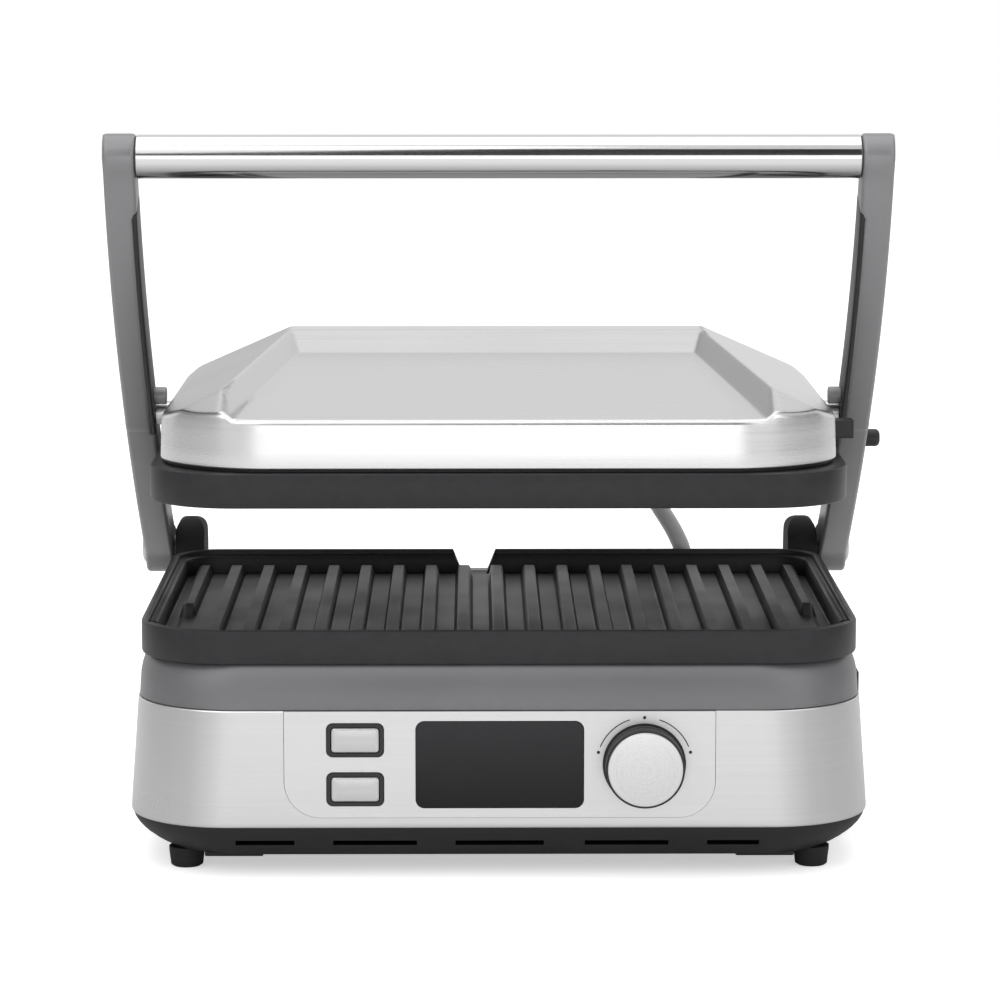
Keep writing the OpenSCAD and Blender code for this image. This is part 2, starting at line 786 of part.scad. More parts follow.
module lower_plate() {
    floor_z = deck_z + floor_t;
    spout = 3;
    color("#303033") difference() {
        union() {
            difference() {
                translate([0, 0, deck_z]) linear_extrude(plate_h) plate_plan(0);
                translate([0, 0, floor_z]) linear_extrude(plate_h) plate_plan(rim_t);
                translate([0, 0, plate_top - 2.6]) linear_extrude(plate_h) plate_plan(rim_t * 0.55);
            }
            ribs(plate_front + rim_t + 12, plate_rear - rim_t - 8, floor_z, short_rib);
            block([drain_x - drain_w / 2 - 3, plate_rear - 2, deck_z + 1],
                [drain_x + drain_w / 2 + 3, plate_rear + spout, floor_z + 4]);
        }
        // grease channel all round the ribs and the outlet at the rear
        translate([0, 0, floor_z - 1]) linear_extrude(plate_h) difference() {
            plate_plan(rim_t);
            plate_plan(rim_t + 7);
        }
        block([drain_x - drain_w / 2, plate_rear - rim_t - 2, floor_z - 1],
            [drain_x + drain_w / 2, plate_rear + spout + bite, plate_top + bite]);
        // pockets for the corner clips
        for (s = [-1, 1])
            block([s * (clip_x - 3) - 5.5, clip_y - 9, floor_z + 2],
                [s * (clip_x - 3) + 5.5, clip_y + 9, plate_top + bite]);
        for (s = [-1, 1])
            block([s * clip_x - 1 - fit, clip_y - 4 - fit, deck_z - bite],
                [s * clip_x + 1 + fit, clip_y + 4 + fit, plate_top]);
    }
}

module plate_clips() {
    color("#c4c5c6") for (s = [-1, 1])
        block([s * clip_x - 1, clip_y - 4, deck_z], [s * clip_x + 1, clip_y + 4, deck_z + floor_t + 6]);
}

module upper_plate() {
    color("#303033") difference() {
        union() {
            difference() {
                translate([0, 0, lid_z]) linear_extrude(upper_h) upper_plan(0);
                translate([0, 0, lid_z - bite]) linear_extrude(upper_h - floor_t + bite) upper_plan(rim_t);
            }
            translate([0, 0, 2 * (lid_z + upper_h - floor_t)]) mirror([0, 0, 1])
                translate([0, 0, 0]) ribs(lid_y - upper_d / 2 + rim_t + 12,
                    lid_y + upper_d / 2 - rim_t - 12, lid_z + upper_h - floor_t, 40);
        }
        translate([0, 0, lid_z - bite]) linear_extrude(upper_h - floor_t + bite + 1) difference() {
            upper_plan(rim_t);
            upper_plan(rim_t + 7);
        }
    }
}

// ---------------------------------------------------------- hinge towers

// side is -1 on the left and +1 on the right.
module hinge_tower(side) {
    round_r = 8;
    x0 = side > 0 ? tower_in : -tower_out;
    color("#202123") difference() {
        intersection() {
            on_side(x0, tower_t) {
                difference() {
                    translate([hinge_y, hinge_z]) circle(tower_r);
                    translate([hinge_y - tower_r, deck_z + fit / 2 - tower_r]) square([2 * tower_r, tower_r]);
                }
                translate([hinge_y - tower_r, deck_z + fit / 2])
                    square([2 * tower_r, hinge_z - deck_z - fit / 2]);
            }
            translate([side * (tower_in + tower_out) / 2, rear_y + bite, 0]) rotate([90, 0, 0])
                linear_extrude(2 * tower_r + 2 * bite) union() {
                    translate([-tower_t / 2, 0]) square([tower_t, hinge_z + tower_r - round_r]);
                    translate([side > 0 ? round_r - tower_t / 2 : -tower_t / 2, 0])
                        square([tower_t - round_r, hinge_z + tower_r + bite]);
                    translate([-side * (tower_t / 2 - round_r), hinge_z + tower_r - round_r]) circle(round_r);
                }
        }
        bar_x(side > 0 ? tower_in - bite : -tower_out - bite, side > 0 ? tower_out + bite : bite - tower_in,
            hinge_y, hinge_z, hinge_d / 2 + press);
    }
}

module hinge_tower_left() {
    hinge_tower(-1);
}

module hinge_tower_right() {
    hinge_tower(1);
}

pin_head_t = 1.8;
pin_head_r = 7;

module hinge_pins() {
    color("#a9abad") for (s = [-1, 1]) {
        x0 = tower_in + 0.5;
        x1 = arm_out + fit;
        bar_x(s > 0 ? x0 : -x1, s > 0 ? x1 : -x0, hinge_y, hinge_z, hinge_d / 2);
        translate([s * x1, hinge_y, hinge_z]) rotate([0, s * 90, 0]) rotate_extrude() polygon([
            [0, -skin], [pin_head_r, 0], [pin_head_r - 0.4, pin_head_t * 0.6],
            [pin_head_r - 2, pin_head_t], [0, pin_head_t]
        ]);
    }
}

module hinge_washers() {
    washer_t = side_gap - 2 * 0.2;
    color("#9b9c9e") for (s = [-1, 1])
        difference() {
            bar_x(s > 0 ? tower_out + 0.2 : -tower_out - 0.2 - washer_t,
                s > 0 ? tower_out + 0.2 + washer_t : -tower_out - 0.2,
                hinge_y, hinge_z, hinge_d / 2 + 4);
            bar_x(s > 0 ? tower_out - bite : -arm_in - bite, s > 0 ? arm_in + bite : bite - tower_out,
                hinge_y, hinge_z, hinge_d / 2 + 0.1);
        }
}

module grease_chute() {
    top = deck_z - 0.4;
    low = drip_z + drip_h + 4;
    color("#27282a") difference() {
        block([drain_x - chute_w / 2, chute_y0, low], [drain_x + chute_w / 2, chute_y1, top]);
        block([drain_x - chute_w / 2 + 1.5, chute_y0 + 1.5, low - bite],
            [drain_x + chute_w / 2 - 1.5, chute_y1 - 1.5, top + bite]);
    }
}

// Power board with a relay and a capacitor, on its posts ahead of the tray.
power_in = 41.5;
power_w = 64;
power_d = 54;
power_y = drip_y + 6 - power_d;
post_h = 6;
post_in = 6;

module power_board() {
    z = tray_z + tray_t / 2 + post_h;
    color("#2f5d3a") translate([power_in - base_w / 2, power_y, z]) {
        cube([power_w, power_d, board_t]);
        translate([post_in, post_in, 0]) cube([18, 20, board_t + 15]);
        translate([power_w - 30, 10, 0]) cube([20, 28, board_t + 18]);
    }
}

module base_screws() {
    color("#8f9193") at_screws() {
        translate([0, 0, tray_z + 0.6]) cylinder(r = 4, h = 2.4);
        translate([0, 0, tray_z + 0.6]) cylinder(r = screw_r, h = tray_h + screw_bite);
    }
}

module cord_inlet() {
    color("#202123") difference() {
        union() {
            bar_y(rear_y - 9, rear_y + fit, inlet_x, inlet_z, 6.5);
            bar_y(rear_y + fit / 2, rear_y + 2, inlet_x, inlet_z, 8.5);
        }
        bar_y(rear_y - 9 - bite, rear_y + 2 + bite, inlet_x, inlet_z, 3.8);
    }
}

// ------------------------------------------------ lead from base to lid

gland_h = 5;
lead_z = cover_z + 9;
lead_x = 64;
lead_end = cover_rear + gland_h;

module cable_gland_base() {
    color("#3a3b3d") translate([gland_x, gland_y, deck_z]) {
        translate([0, 0, -deck_t]) cylinder(r = 5, h = deck_t + gland_h);
        cylinder(r = 7.5, h = 2);
    }
}

module cable_gland_lid() {
    color("#3a3b3d") {
        bar_y(cover_rear - cover_t - 2, lead_end, lead_x, lead_z, 5);
        bar_y(cover_rear + 0.1, cover_rear + 2, lead_x, lead_z, 7.5);
    }
}

lead_low = [
    [gland_x, gland_y, deck_z + gland_h], [94.8, 130, 104], [93, 130.5, 110], [89, 132, 118],
    [83, 134.5, 127.5], [76.5, 138.5, 138]
];
lead_high = [
    [76.5, 138.5, 138], [71, 142.5, 148.5], [66.5, 146, 160], [64.5, 147, 171],
    [64, 144, 180], [64, 138, lead_z], [64, 133, lead_z], [lead_x, lead_end, lead_z]
];

function unit(v) = v / norm(v);
function tangent(p, i) = unit(p[min(i + 1, len(p) - 1)] - p[max(i - 1, 0)]);
// Rings of a tube of radius r along the points p, square to its route; the
// first and last rings take the directions d0 and d1.
function ring(c, t, r, n) =
    let (a = unit(cross(t, [1, 0, 0])), b = cross(t, a))
    [for (k = [0:n - 1]) c + r * (cos(360 * k / n) * a + sin(360 * k / n) * b)];
function tube_points(p, d0, d1, r, n) = [
    for (i = [0:len(p) - 1])
        each ring(p[i], i == 0 ? d0 : i == len(p) - 1 ? d1 : tangent(p, i), r, n)
];

module lead_tube(p, d0, d1) {
    n = 10;
    m = len(p);
    polyhedron(tube_points(p, d0, d1, lead_d / 2, n), concat(
        [[for (k = [0:n - 1]) k]],
        [for (i = [0:m - 2]) for (k = [0:n - 1]) [i * n + k, (i + 1) * n + k, i * n + (k + 1) % n]],
        [for (i = [0:m - 2]) for (k = [0:n - 1])
            [(i + 1) * n + k, (i + 1) * n + (k + 1) % n, i * n + (k + 1) % n]],
        [[for (k = [0:n - 1]) m * n - 1 - k]]
    ));
}

lead_turn = unit(lead_high[1] - lead_low[4]);

module lid_cable_lower() {
    color("#a8a9aa") lead_tube(lead_low, [0, 0, 1], lead_turn);
}

module lid_cable_upper() {
    color("#a8a9aa") lead_tube(lead_high, lead_turn, [0, -1, 0]);
}

// ------------------------------------------------- release and drip tray

module lower_release_button() {
    x1 = base_w / 2 - flank_lean + 1;
    x0 = base_w / 2 - flank_lean - panel_t - shell_t - 6;
    color("#1d1d1f") {
        block([x0, release_y - release_l / 2, release_z - release_h / 2],
            [x1, release_y + release_l / 2, release_z + release_h / 2]);
        block([x0 - 2, release_y - 5, release_z - 3], [x0 + skin, release_y + 5, release_z + 1.5]);
    }
}

module lower_latch() {
    x1 = base_w / 2 - flank_lean - panel_t - shell_t - 8;
    color("#b0b2b4") block([x1 - 1.5, release_y - 5, release_z - 8], [x1, release_y + 5, release_z + 1.5]);
}

module upper_release_button() {
    color("#1d1d1f") on_side(cover_x - cover_t - 4, cover_t + 4 + 10.5)
        translate([upper_release_y, upper_release_z]) pad(upper_release_w, upper_release_h, 1);
}

module drip_tray() {
    x0 = drain_x - drip_w / 2;
    x1 = drain_x + drip_w / 2;
    color("#2b2c2e") difference() {
        block([x0, drip_y + fit, drip_z], [x1, rear_y, drip_z + drip_h]);
        block([x0 + drip_t, drip_y + fit + drip_t, drip_z + drip_t],
            [x1 - drip_t, rear_y - 8, drip_z + drip_h + bite]);
        // finger hollow in the rear face
        block([drain_x - 24, rear_y - 6, drip_z - bite], [drain_x + 24, rear_y + bite, drip_z + drip_h - 6]);
    }
}

// ------------------------------------------------------ arms and handle

// The arm's middle line is a curve from the handle to the hinge whose bend
// point is where its two end slopes cross.
top_way = [cos(arm_top_angle), -sin(arm_top_angle)];
foot_way = [-cos(arm_foot_angle), sin(arm_foot_angle)];
span = [handle_reach, -handle_rise];
reach_a = (foot_way[0] * span[1] - span[0] * foot_way[1])
    / (foot_way[0] * top_way[1] - top_way[0] * foot_way[1]);
bend = [handle_y, handle_z] + reach_a * top_way;
arm_steps = 28;
function arm_at(t) = pow(1 - t, 2) * [handle_y, handle_z] + 2 * t * (1 - t) * bend
    + t * t * [hinge_y, hinge_z];
function arm_way(t) = unit(2 * (1 - t) * (bend - [handle_y, handle_z])
    + 2 * t * ([hinge_y, hinge_z] - bend));
function arm_side(t, w) = arm_at(t) + w * [arm_way(t)[1], -arm_way(t)[0]];
function arm_band(t0, t1, w) = concat(
    [for (i = [0:arm_steps]) arm_side(t0 + (t1 - t0) * i / arm_steps, w)],
    [for (i = [arm_steps:-1:0]) arm_side(t0 + (t1 - t0) * i / arm_steps, -w)]
);

lock_t = 0.69;
lock_at = arm_at(lock_t);
peg_at = [pivot_y - 8, pivot_z + 9];
peg_r = 4.1;
peg_l = arm_in - cover_x - 1.9;
liner_t0 = 0.1;
liner_t1 = 0.54;

// side is -1 on the left and +1 on the right.
module arm(side) {
    x0 = side > 0 ? arm_in : -arm_out;
    x1 = side > 0 ? arm_out : -arm_in;
    liner_x = side > 0 ? arm_in - bite : -arm_in - liner_t - fit;
    color("#6c6d70") difference() {
        union() {
            on_side(x0, arm_t) {
                polygon(arm_band(0, 1, arm_w / 2));
                translate([hinge_y, hinge_z]) circle(hub_r);
                translate([handle_y, handle_z]) circle(grip_r);
                translate([pivot_y, pivot_z]) circle(arm_w / 2 + 0.6);
            }
            bar_x(side > 0 ? arm_in - peg_l : -arm_in - bite, side > 0 ? arm_in + bite : peg_l - arm_in,
                peg_at[0], peg_at[1], peg_r);
        }
        bar_x(x0 - bite, x1 + bite, hinge_y, hinge_z, hinge_d / 2 + run);
        bar_x(side > 0 ? arm_in - bite : -arm_in - 10, side > 0 ? arm_in + 10 : bite - arm_in,
            pivot_y, pivot_z, pivot_d / 2 + run);
        bar_x(x0 - bite, x1 + bite, handle_y, handle_z, 3.2);
        bar_x(side > 0 ? arm_out - 3 : -arm_out - bite, side > 0 ? arm_out + bite : 3 - arm_out,
            handle_y, handle_z, 5.4);
        on_side(liner_x, liner_t + fit + bite) polygon(arm_band(liner_t0, liner_t1, arm_w / 2 - 2.4));
        if (side > 0)
            bar_x(arm_out - 8, arm_out + bite, lock_at[0], lock_at[1], 2 + run);
    }
}

module arm_left() {
    arm(-1);
}

module arm_right() {
    arm(1);
}

module arm_liner(side) {
    x0 = side > 0 ? arm_in : -arm_in - liner_t;
    color("#2a2b2e") on_side(x0, liner_t)
        polygon(arm_band(liner_t0 + 0.003, liner_t1 - 0.003, arm_w / 2 - 2.4 - fit));
}

module arm_liner_left() {
    arm_liner(-1);
}

module arm_liner_right() {
    arm_liner(1);
}

module handle_tube() {
    x = arm_in - fit;
    color("#c6c7c8") difference() {
        bar_x(-x, x, handle_y, handle_z, handle_d / 2);
        bar_x(-x - bite, x + bite, handle_y, handle_z, handle_d / 2 - handle_wall);
    }
}

module handle_plugs() {
    r = handle_d / 2 - handle_wall - press;
    color("#2b2c2e") for (s = [-1, 1])
        difference() {
            bar_x(s > 0 ? arm_in - 26 : -arm_in, s > 0 ? arm_in : 26 - arm_in, handle_y, handle_z, r);
            bar_x(s > 0 ? arm_in - 22 : -arm_in - bite, s > 0 ? arm_in + bite : 22 - arm_in,
                handle_y, handle_z, 3 + press);
        }
}

module handle_screws() {
    color("#9fa1a3") for (s = [-1, 1]) {
        bar_x(s > 0 ? arm_in - 20 : -arm_out + 0.8, s > 0 ? arm_out - 0.8 : 20 - arm_in,
            handle_y, handle_z, 3);
        bar_x(s > 0 ? arm_out - 3 : -arm_out + 0.4, s > 0 ? arm_out - 0.4 : 3 - arm_out,
            handle_y, handle_z, 5.1);
    }
}

module lid_lock_knob() {
    x = arm_out + fit;
    color("#18181a") {
        bar_x(arm_out - 7, x + bite, lock_at[0], lock_at[1], 2);
        translate([x, lock_at[0], lock_at[1]]) rotate([0, 90, 0]) rotate_extrude() polygon([
            [0, 0], [knob_d / 2 - 0.3, 0], [knob_d / 2, 0.3], [knob_d / 2, knob_l - 1.2],
            [knob_d / 2 - 1.2, knob_l], [0, knob_l]
        ]);
    }
}

// ------------------------------------------------------------------ lid

// The cover's outline, drawn in by t, with rounder corners higher up.
module cover_slice(t, r) {
    slice(cover_x - t, cover_front + t, cover_rear - t, max(r - t, 2), max(r - 14 - t, 2));
}

// The same outline as a flat shape made of true arcs.
module cover_plan(t) {
    plan(cover_x - t, cover_front + t, cover_rear - t, skirt_r - t, skirt_r - 14 - t);
}

module skirt_form(t, z0, z1) {
    hull() {
        translate([0, 0, z0]) cover_slice(t, skirt_r);
        translate([0, 0, z1 - skin]) cover_slice(t + 0.6, skirt_r + 6);
    }
}

// A thin bar across the lid, at a height above the skirt.
module cover_bar(w, y, h) {
    translate([-w / 2, y, skirt_z + h]) cube([w, skin, skin]);
}

// Pressed top: hips and a ridge at the rear, all drawn down to the skirt's edge.
module top_form(t) {
    hull() {
        translate([0, 0, skirt_z - skin - t]) cover_slice(t + 0.6, skirt_r + 6);
        for (y = [ridge_front, ridge_front + ridge_d]) {
            cover_bar(ridge_w - 2 * t, y, ridge_h - t);
            cover_bar(knee_w - 2 * t, y, knee_h - t);
            cover_bar(hip_w - 2 * t, y, hip_h - t);
        }
    }
}

// What the sunk field takes out of the top, lower by t: a floor that rises to
// the rear, side walls that lean out and a rear wall up to the ridge.
module field_form(t) {
    hull() {
        cover_bar(field_w, field_front - t, -t);
        cover_bar(field_w + 2 * wall_lean * field_open, field_front - t, field_open - t);
        cover_bar(field_rear_w, field_rear, field_h - t);
        cover_bar(field_rear_w + field_over * (field_rim_w - field_rear_w),
            field_rear + field_over * (ridge_front - field_rear),
            field_h + field_over * (ridge_h - field_h) - t);
    }
}

// Skirt and top with the field taken out, drawn in by t.
module cover_form(t, z0) {
    difference() {
        union() {
            skirt_form(t, z0, skirt_z - t);
            top_form(t);
        }
        field_form(t);
    }
}

module lid_cover() {
    color("#d2d3d4") difference() {
        cover_form(0, cover_z);
        cover_form(cover_t, cover_z - bite);
        for (s = [-1, 1])
            bar_x(s > 0 ? cover_x - 12 : -cover_x - bite, s > 0 ? cover_x + bite : 12 - cover_x,
                pivot_y, pivot_z, pivot_d / 2 + fit);
        bar_y(cover_rear - 12, cover_rear + bite, lead_x, lead_z, 5 + fit);
        translate([cover_x, upper_release_y, upper_release_z])
            cube([24, upper_release_w + 2 * fit, upper_release_h + 2 * fit], center = true);
    }
}

frame_z = lid_z + upper_h;
frame_flange = 1.2;
frame_in = 6.4;
frame_rise = 17;

module lid_frame() {
    color("#1e1f21") difference() {
        union() {
            translate([0, 0, frame_z]) linear_extrude(frame_flange) cover_plan(1.2);
            translate([0, 0, frame_z]) linear_extrude(frame_rise) cover_plan(frame_in);
        }
        translate([0, 0, frame_z - bite]) linear_extrude(frame_rise + 2 * bite)
            cover_plan(frame_in + 1.6);
        for (s = [-1, 1])
            block([s > 0 ? upper_w / 2 - 16 : -upper_w / 2 + 4, pivot_y - 13, frame_z + frame_flange],
                [s > 0 ? upper_w / 2 - 4 : 16 - upper_w / 2, pivot_y + 13, frame_z + 30]);
        block([upper_w / 2 - 16, upper_release_y - 9, frame_z + frame_flange],
            [upper_w / 2 - 4, upper_release_y + 9, frame_z + 30]);
        bar_y(cover_rear - 20, cover_rear, lead_x, lead_z, 6);
    }
}

bracket_x = upper_w / 2 - 9.5;

module pivot_brackets() {
    z0 = frame_z + frame_flange;
    color("#9b9da0") for (s = [-1, 1])
        difference() {
            union() {
                block([s * bracket_x - 1.5, pivot_y - 11, z0], [s * bracket_x + 1.5, pivot_y + 11, pivot_z]);
                bar_x(s * bracket_x - 1.5, s * bracket_x + 1.5, pivot_y, pivot_z, 7.4);
            }
            bar_x(s * bracket_x - 3, s * bracket_x + 3, pivot_y, pivot_z, pivot_d / 2 + press);
        }
}

module pivot_pins() {
    x0 = bracket_x - 2;
    x1 = arm_in + 9;
    color("#8a8c8f") for (s = [-1, 1]) {
        bar_x(s > 0 ? x0 : -x1, s > 0 ? x1 : -x0, pivot_y, pivot_z, pivot_d / 2);
        bar_x(s > 0 ? cover_x + 0.3 : -arm_in + 0.3, s > 0 ? arm_in - 0.3 : -cover_x - 0.3,
            pivot_y, pivot_z, pivot_d / 2 + 1.6);
    }
}

upper_rod_z = frame_z + rod_gap + rod_r;

module upper_reflector() {
    color("#b6b7b8") difference() {
        translate([0, 0, frame_z]) linear_extrude(pan_depth) cover_plan(upper_pan_in);
        translate([0, 0, frame_z - pan_t]) linear_extrude(pan_depth) cover_plan(upper_pan_in + pan_t);
        for (p = rod_ends(upper_rod_x, lid_y))
            translate([p[0], p[1], frame_z + pan_depth - pan_t - bite])
                cylinder(r = rod_r + fit, h = pan_t + 2 * bite);
    }
}

module upper_element() {
    color("#5b5450") heating_rod(upper_rod_x, lid_y, upper_rod_z, -upper_rod_tail);
}

module upper_thermostat() {
    roof = frame_z + pan_depth - pan_t;
    color("#c8a86a") translate([0, lid_y + rod_pitch / 2, 0]) {
        translate([0, 0, roof - 4]) cylinder(r = 9, h = 4);
        translate([0, 0, frame_z + fit]) cylinder(r = 5, h = roof - frame_z - fit);
    }
}

bottom_tray();
feet();
base_shell();
deck_band();
front_fascia();
control_plate();
control_carrier();
button_bezels();
display_lens();
display_module();
control_board();
encoder_body();
lower_reflector();
lower_element();
lower_thermostat();
lower_plate();
plate_clips();
hinge_tower_left();
hinge_tower_right();
hinge_pins();
hinge_washers();
grease_chute();
power_board();
base_screws();
cord_inlet();
cable_gland_base();
lid_cable_lower();
upper_button();
lower_button();
encoder_plunger();
dial_shaft();
dial_knob();
lower_release_button();
lower_latch();
drip_tray();
arm_left();
arm_right();
arm_liner_left();
arm_liner_right();
handle_tube();
handle_plugs();
handle_screws();
lid_lock_knob();
lid_cover();
lid_frame();
pivot_brackets();
pivot_pins();
upper_reflector();
upper_element();
upper_thermostat();
upper_plate();
cable_gland_lid();
lid_cable_upper();
upper_release_button();
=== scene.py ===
"""Contact grill with a floating lid: the finished pieces, their finishes and the stage.

Metres, X to the right, Y to the rear, Z up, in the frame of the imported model.
"""

import json
import math

import bmesh
import bpy
import numpy as np
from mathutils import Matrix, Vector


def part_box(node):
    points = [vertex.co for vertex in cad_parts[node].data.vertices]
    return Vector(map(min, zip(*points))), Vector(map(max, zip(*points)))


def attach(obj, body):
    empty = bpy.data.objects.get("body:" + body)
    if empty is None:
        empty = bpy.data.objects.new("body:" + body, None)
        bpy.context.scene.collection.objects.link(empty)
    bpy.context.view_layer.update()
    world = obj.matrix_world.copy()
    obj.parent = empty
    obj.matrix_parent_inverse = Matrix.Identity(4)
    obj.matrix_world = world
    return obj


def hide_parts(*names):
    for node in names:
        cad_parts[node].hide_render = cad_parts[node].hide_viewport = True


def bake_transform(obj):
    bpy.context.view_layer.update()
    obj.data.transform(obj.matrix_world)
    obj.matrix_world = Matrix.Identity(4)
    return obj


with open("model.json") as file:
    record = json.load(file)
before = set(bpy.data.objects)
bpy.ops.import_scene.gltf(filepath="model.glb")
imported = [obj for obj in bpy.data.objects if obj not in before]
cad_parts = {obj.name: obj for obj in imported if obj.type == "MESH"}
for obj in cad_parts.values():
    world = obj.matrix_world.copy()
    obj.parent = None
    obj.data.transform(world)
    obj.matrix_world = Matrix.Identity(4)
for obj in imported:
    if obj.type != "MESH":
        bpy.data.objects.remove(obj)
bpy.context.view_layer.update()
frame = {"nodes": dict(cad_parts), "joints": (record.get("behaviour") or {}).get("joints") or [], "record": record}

bl_info = {
    "name": "Contact Grill",
    "version": (1, 0, 0),
    "blender": (4, 5, 0),
    "location": "View3D > Sidebar > Grill",
    "description": "Dresses the packed contact grill with its finished surfaces",
    "category": "Add Mesh",
}

MM = 0.001
FULL_TURN = 2 * math.pi


def corners(node):
    """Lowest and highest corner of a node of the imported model, as two arrays."""
    low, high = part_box(node)
    return np.array(low), np.array(high)


def joint_place(name):
    """Point that the named hinge turns about."""
    found = [joint for joint in frame["joints"] if joint["name"] == name]
    return np.array(found[0]["pos_m"], float)


SHELL_HIGH = corners("base_shell")[1]
BAND_LOW, BAND_HIGH = corners("deck_band")
PANEL_LOW, PANEL_HIGH = corners("front_fascia")
TRAY_LOW, TRAY_HIGH = corners("bottom_tray")
PLATE_LOW, PLATE_HIGH = corners("lower_plate")
UPPER_LOW, UPPER_HIGH = corners("upper_plate")
COVER_LOW, COVER_HIGH = corners("lid_cover")
CONTROL_LOW, CONTROL_HIGH = corners("control_plate")
DIAL_LOW, DIAL_HIGH = corners("dial_knob")
HANDLE_LOW, HANDLE_HIGH = corners("handle_tube")
ARM_HIGH = corners("arm_right")[1]
HINGE = joint_place("arm_hinge")
PIVOT = joint_place("lid_pivot")


# ---------------------------------------------------------------- settings


def size(name, description, default):
    """A length setting in metres, given in millimetres."""
    return bpy.props.FloatProperty(
        name=name, description=description, default=default * MM, precision=4, unit="LENGTH"
    )


def tint(name, description, default):
    """A colour setting, as linear red, green and blue."""
    return bpy.props.FloatVectorProperty(
        name=name, description=description, default=default, size=3, min=0, max=1, subtype="COLOR"
    )


class GrillSizes(bpy.types.PropertyGroup):
    """Radii and small sizes of the finished surfaces."""

    front_radius: size("Front corners", "Radius of the base's front corners", 46)
    rear_radius: size("Rear corners", "Radius of the base's rear corners", 24)
    flank_lean: size("Flank lean", "How far a flank leans in over the panel", 3.8)
    tray_draw: size("Tray draw", "How far the bottom tray draws in", 15)
    plate_rear_radius: size("Plate rear corners", "Radius of the plates' rear corners", 22)
    plate_front_radius: size("Plate front corners", "Radius of the plates' front corners", 40)
    rim: size("Plate rim", "Width of the plates' raised rim", 7)
    plate_floor: size("Plate floor", "Thickness of the plates' floor", 4.6)
    rib_pitch: size("Rib pitch", "Distance from rib to rib", 16)
    rib_height: size("Rib height", "Height of a rib over the floor", 5.2)
    rib_foot: size("Rib foot", "Width of a rib at its foot", 8)
    rib_crest: size("Rib crest", "Width of a rib at its top", 5.2)
    rib_count: bpy.props.IntProperty(name="Ribs", description="Ribs across a plate", default=19)
    drain_width: size("Outlet", "Width of the grease outlet", 18)
    arm_width: size("Arm width", "Width of an arm seen from the side", 18)
    arm_edge: size("Arm edge", "Radius of an arm's edges", 2.0)
    liner: size("Arm liner", "Thickness of the dark inner liner", 1.8)
    skirt: size("Skirt", "Height of the lid's upright skirt", 20)
    skirt_radius: size("Skirt corners", "Radius of the skirt's front corners", 50)
    sheet: size("Sheet", "Thickness of the pressed steel", 1.2)
    lead: size("Lead", "Diameter of the lead to the lid", 8.6)


class GrillColours(bpy.types.PropertyGroup):
    """Base colours of the finishes."""

    steel: tint("Lid steel", "Brushed steel of the lid", (0.60, 0.60, 0.60))
    panel: tint("Panel steel", "Brushed steel of the front panel", (0.54, 0.54, 0.54))
    control: tint("Control plate", "Fine brushed control plate", (0.55, 0.55, 0.55))
    handle: tint("Handle steel", "Polished steel of the handle", (0.57, 0.57, 0.57))
    paint: tint("Arm grey", "Satin grey of the arms", (0.185, 0.185, 0.19))
    band: tint("Band grey", "Satin grey of the band", (0.125, 0.125, 0.13))
    black: tint("Black plastic", "Grained black plastic", (0.012, 0.012, 0.013))
    coating: tint("Coating", "Dark coating of the grill plates", (0.017, 0.017, 0.0185))
    lead: tint("Lead sleeve", "Light grey sleeve of the lead", (0.72, 0.72, 0.72))
    dial: tint("Dial", "Bright face of the dial", (0.54, 0.54, 0.54))
    floor: tint("Floor", "Pale studio floor", (0.90, 0.90, 0.90))


# ------------------------------------------------------------- mesh helpers


def outline(half, front, rear, front_radius, rear_radius, arc=18, side=24):
    """Rounded rectangle, anticlockwise: each corner is its centre plus r (cos a, sin a),
    and each side is cut into even steps."""
    turn = np.linspace(0, math.pi / 2, arc + 1)
    spots = (
        (half - front_radius, front + front_radius, front_radius, -math.pi / 2),
        (half - rear_radius, rear - rear_radius, rear_radius, 0.0),
        (rear_radius - half, rear - rear_radius, rear_radius, math.pi / 2),
        (front_radius - half, front + front_radius, front_radius, math.pi),
    )
    arcs = [
        np.stack([x + r * np.cos(turn + a), y + r * np.sin(turn + a)], 1) for x, y, r, a in spots
    ]
    steps = np.linspace(0, 1, side + 1)[1:-1, None]
    parts = []
    for index, bend in enumerate(arcs):
        following = arcs[(index + 1) % len(arcs)]
        parts += [bend, bend[-1] + steps * (following[0] - bend[-1])]
    return np.concatenate(parts)


def level(points, height):
    """A flat outline lifted to a height."""
    return np.column_stack([points, np.full(len(points), height)])


MERGE = 1e-6  # points nearer than this are one, in metres


def build(name, grids):
    """One mesh of several grids. A grid is (points, rows closed, columns closed, caps): its
    faces are the squares between neighbours, and a cap is one face over an end row."""
    points, faces, first = [], [], 0
    for grid, rows_closed, columns_closed, caps in grids:
        rows, columns = grid.shape[:2]
        index = first + np.arange(rows * columns).reshape(rows, columns)
        wide = np.concatenate([index, index[:, :1]], 1) if columns_closed else index
        wide = np.concatenate([wide, wide[:1]], 0) if rows_closed else wide
        square = np.stack([wide[:-1, :-1], wide[:-1, 1:], wide[1:, 1:], wide[1:, :-1]], -1)
        faces += square.reshape(-1, 4).tolist()
        if caps:
            faces += [index[0, ::-1].tolist(), index[-1].tolist()]
        points.append(grid.reshape(-1, 3))
        first += rows * columns
    mesh = bpy.data.meshes.new(name)
    mesh.from_pydata(np.concatenate(points).tolist(), [], faces)
    work = bmesh.new()
    work.from_mesh(mesh)
    bmesh.ops.remove_doubles(work, verts=work.verts, dist=MERGE)
    bmesh.ops.dissolve_degenerate(work, edges=work.edges, dist=MERGE)
    bmesh.ops.recalc_face_normals(work, faces=work.faces)
    work.to_mesh(mesh)
    work.free()
    return mesh


def stack(rings):
    """A closed-column grid with flat caps, from rings of equal length."""
    return (np.stack(rings), False, True, True)


def hoop(rings):
    """A grid closed both ways, from rings of equal length."""
    return (np.stack(rings), True, True, False)


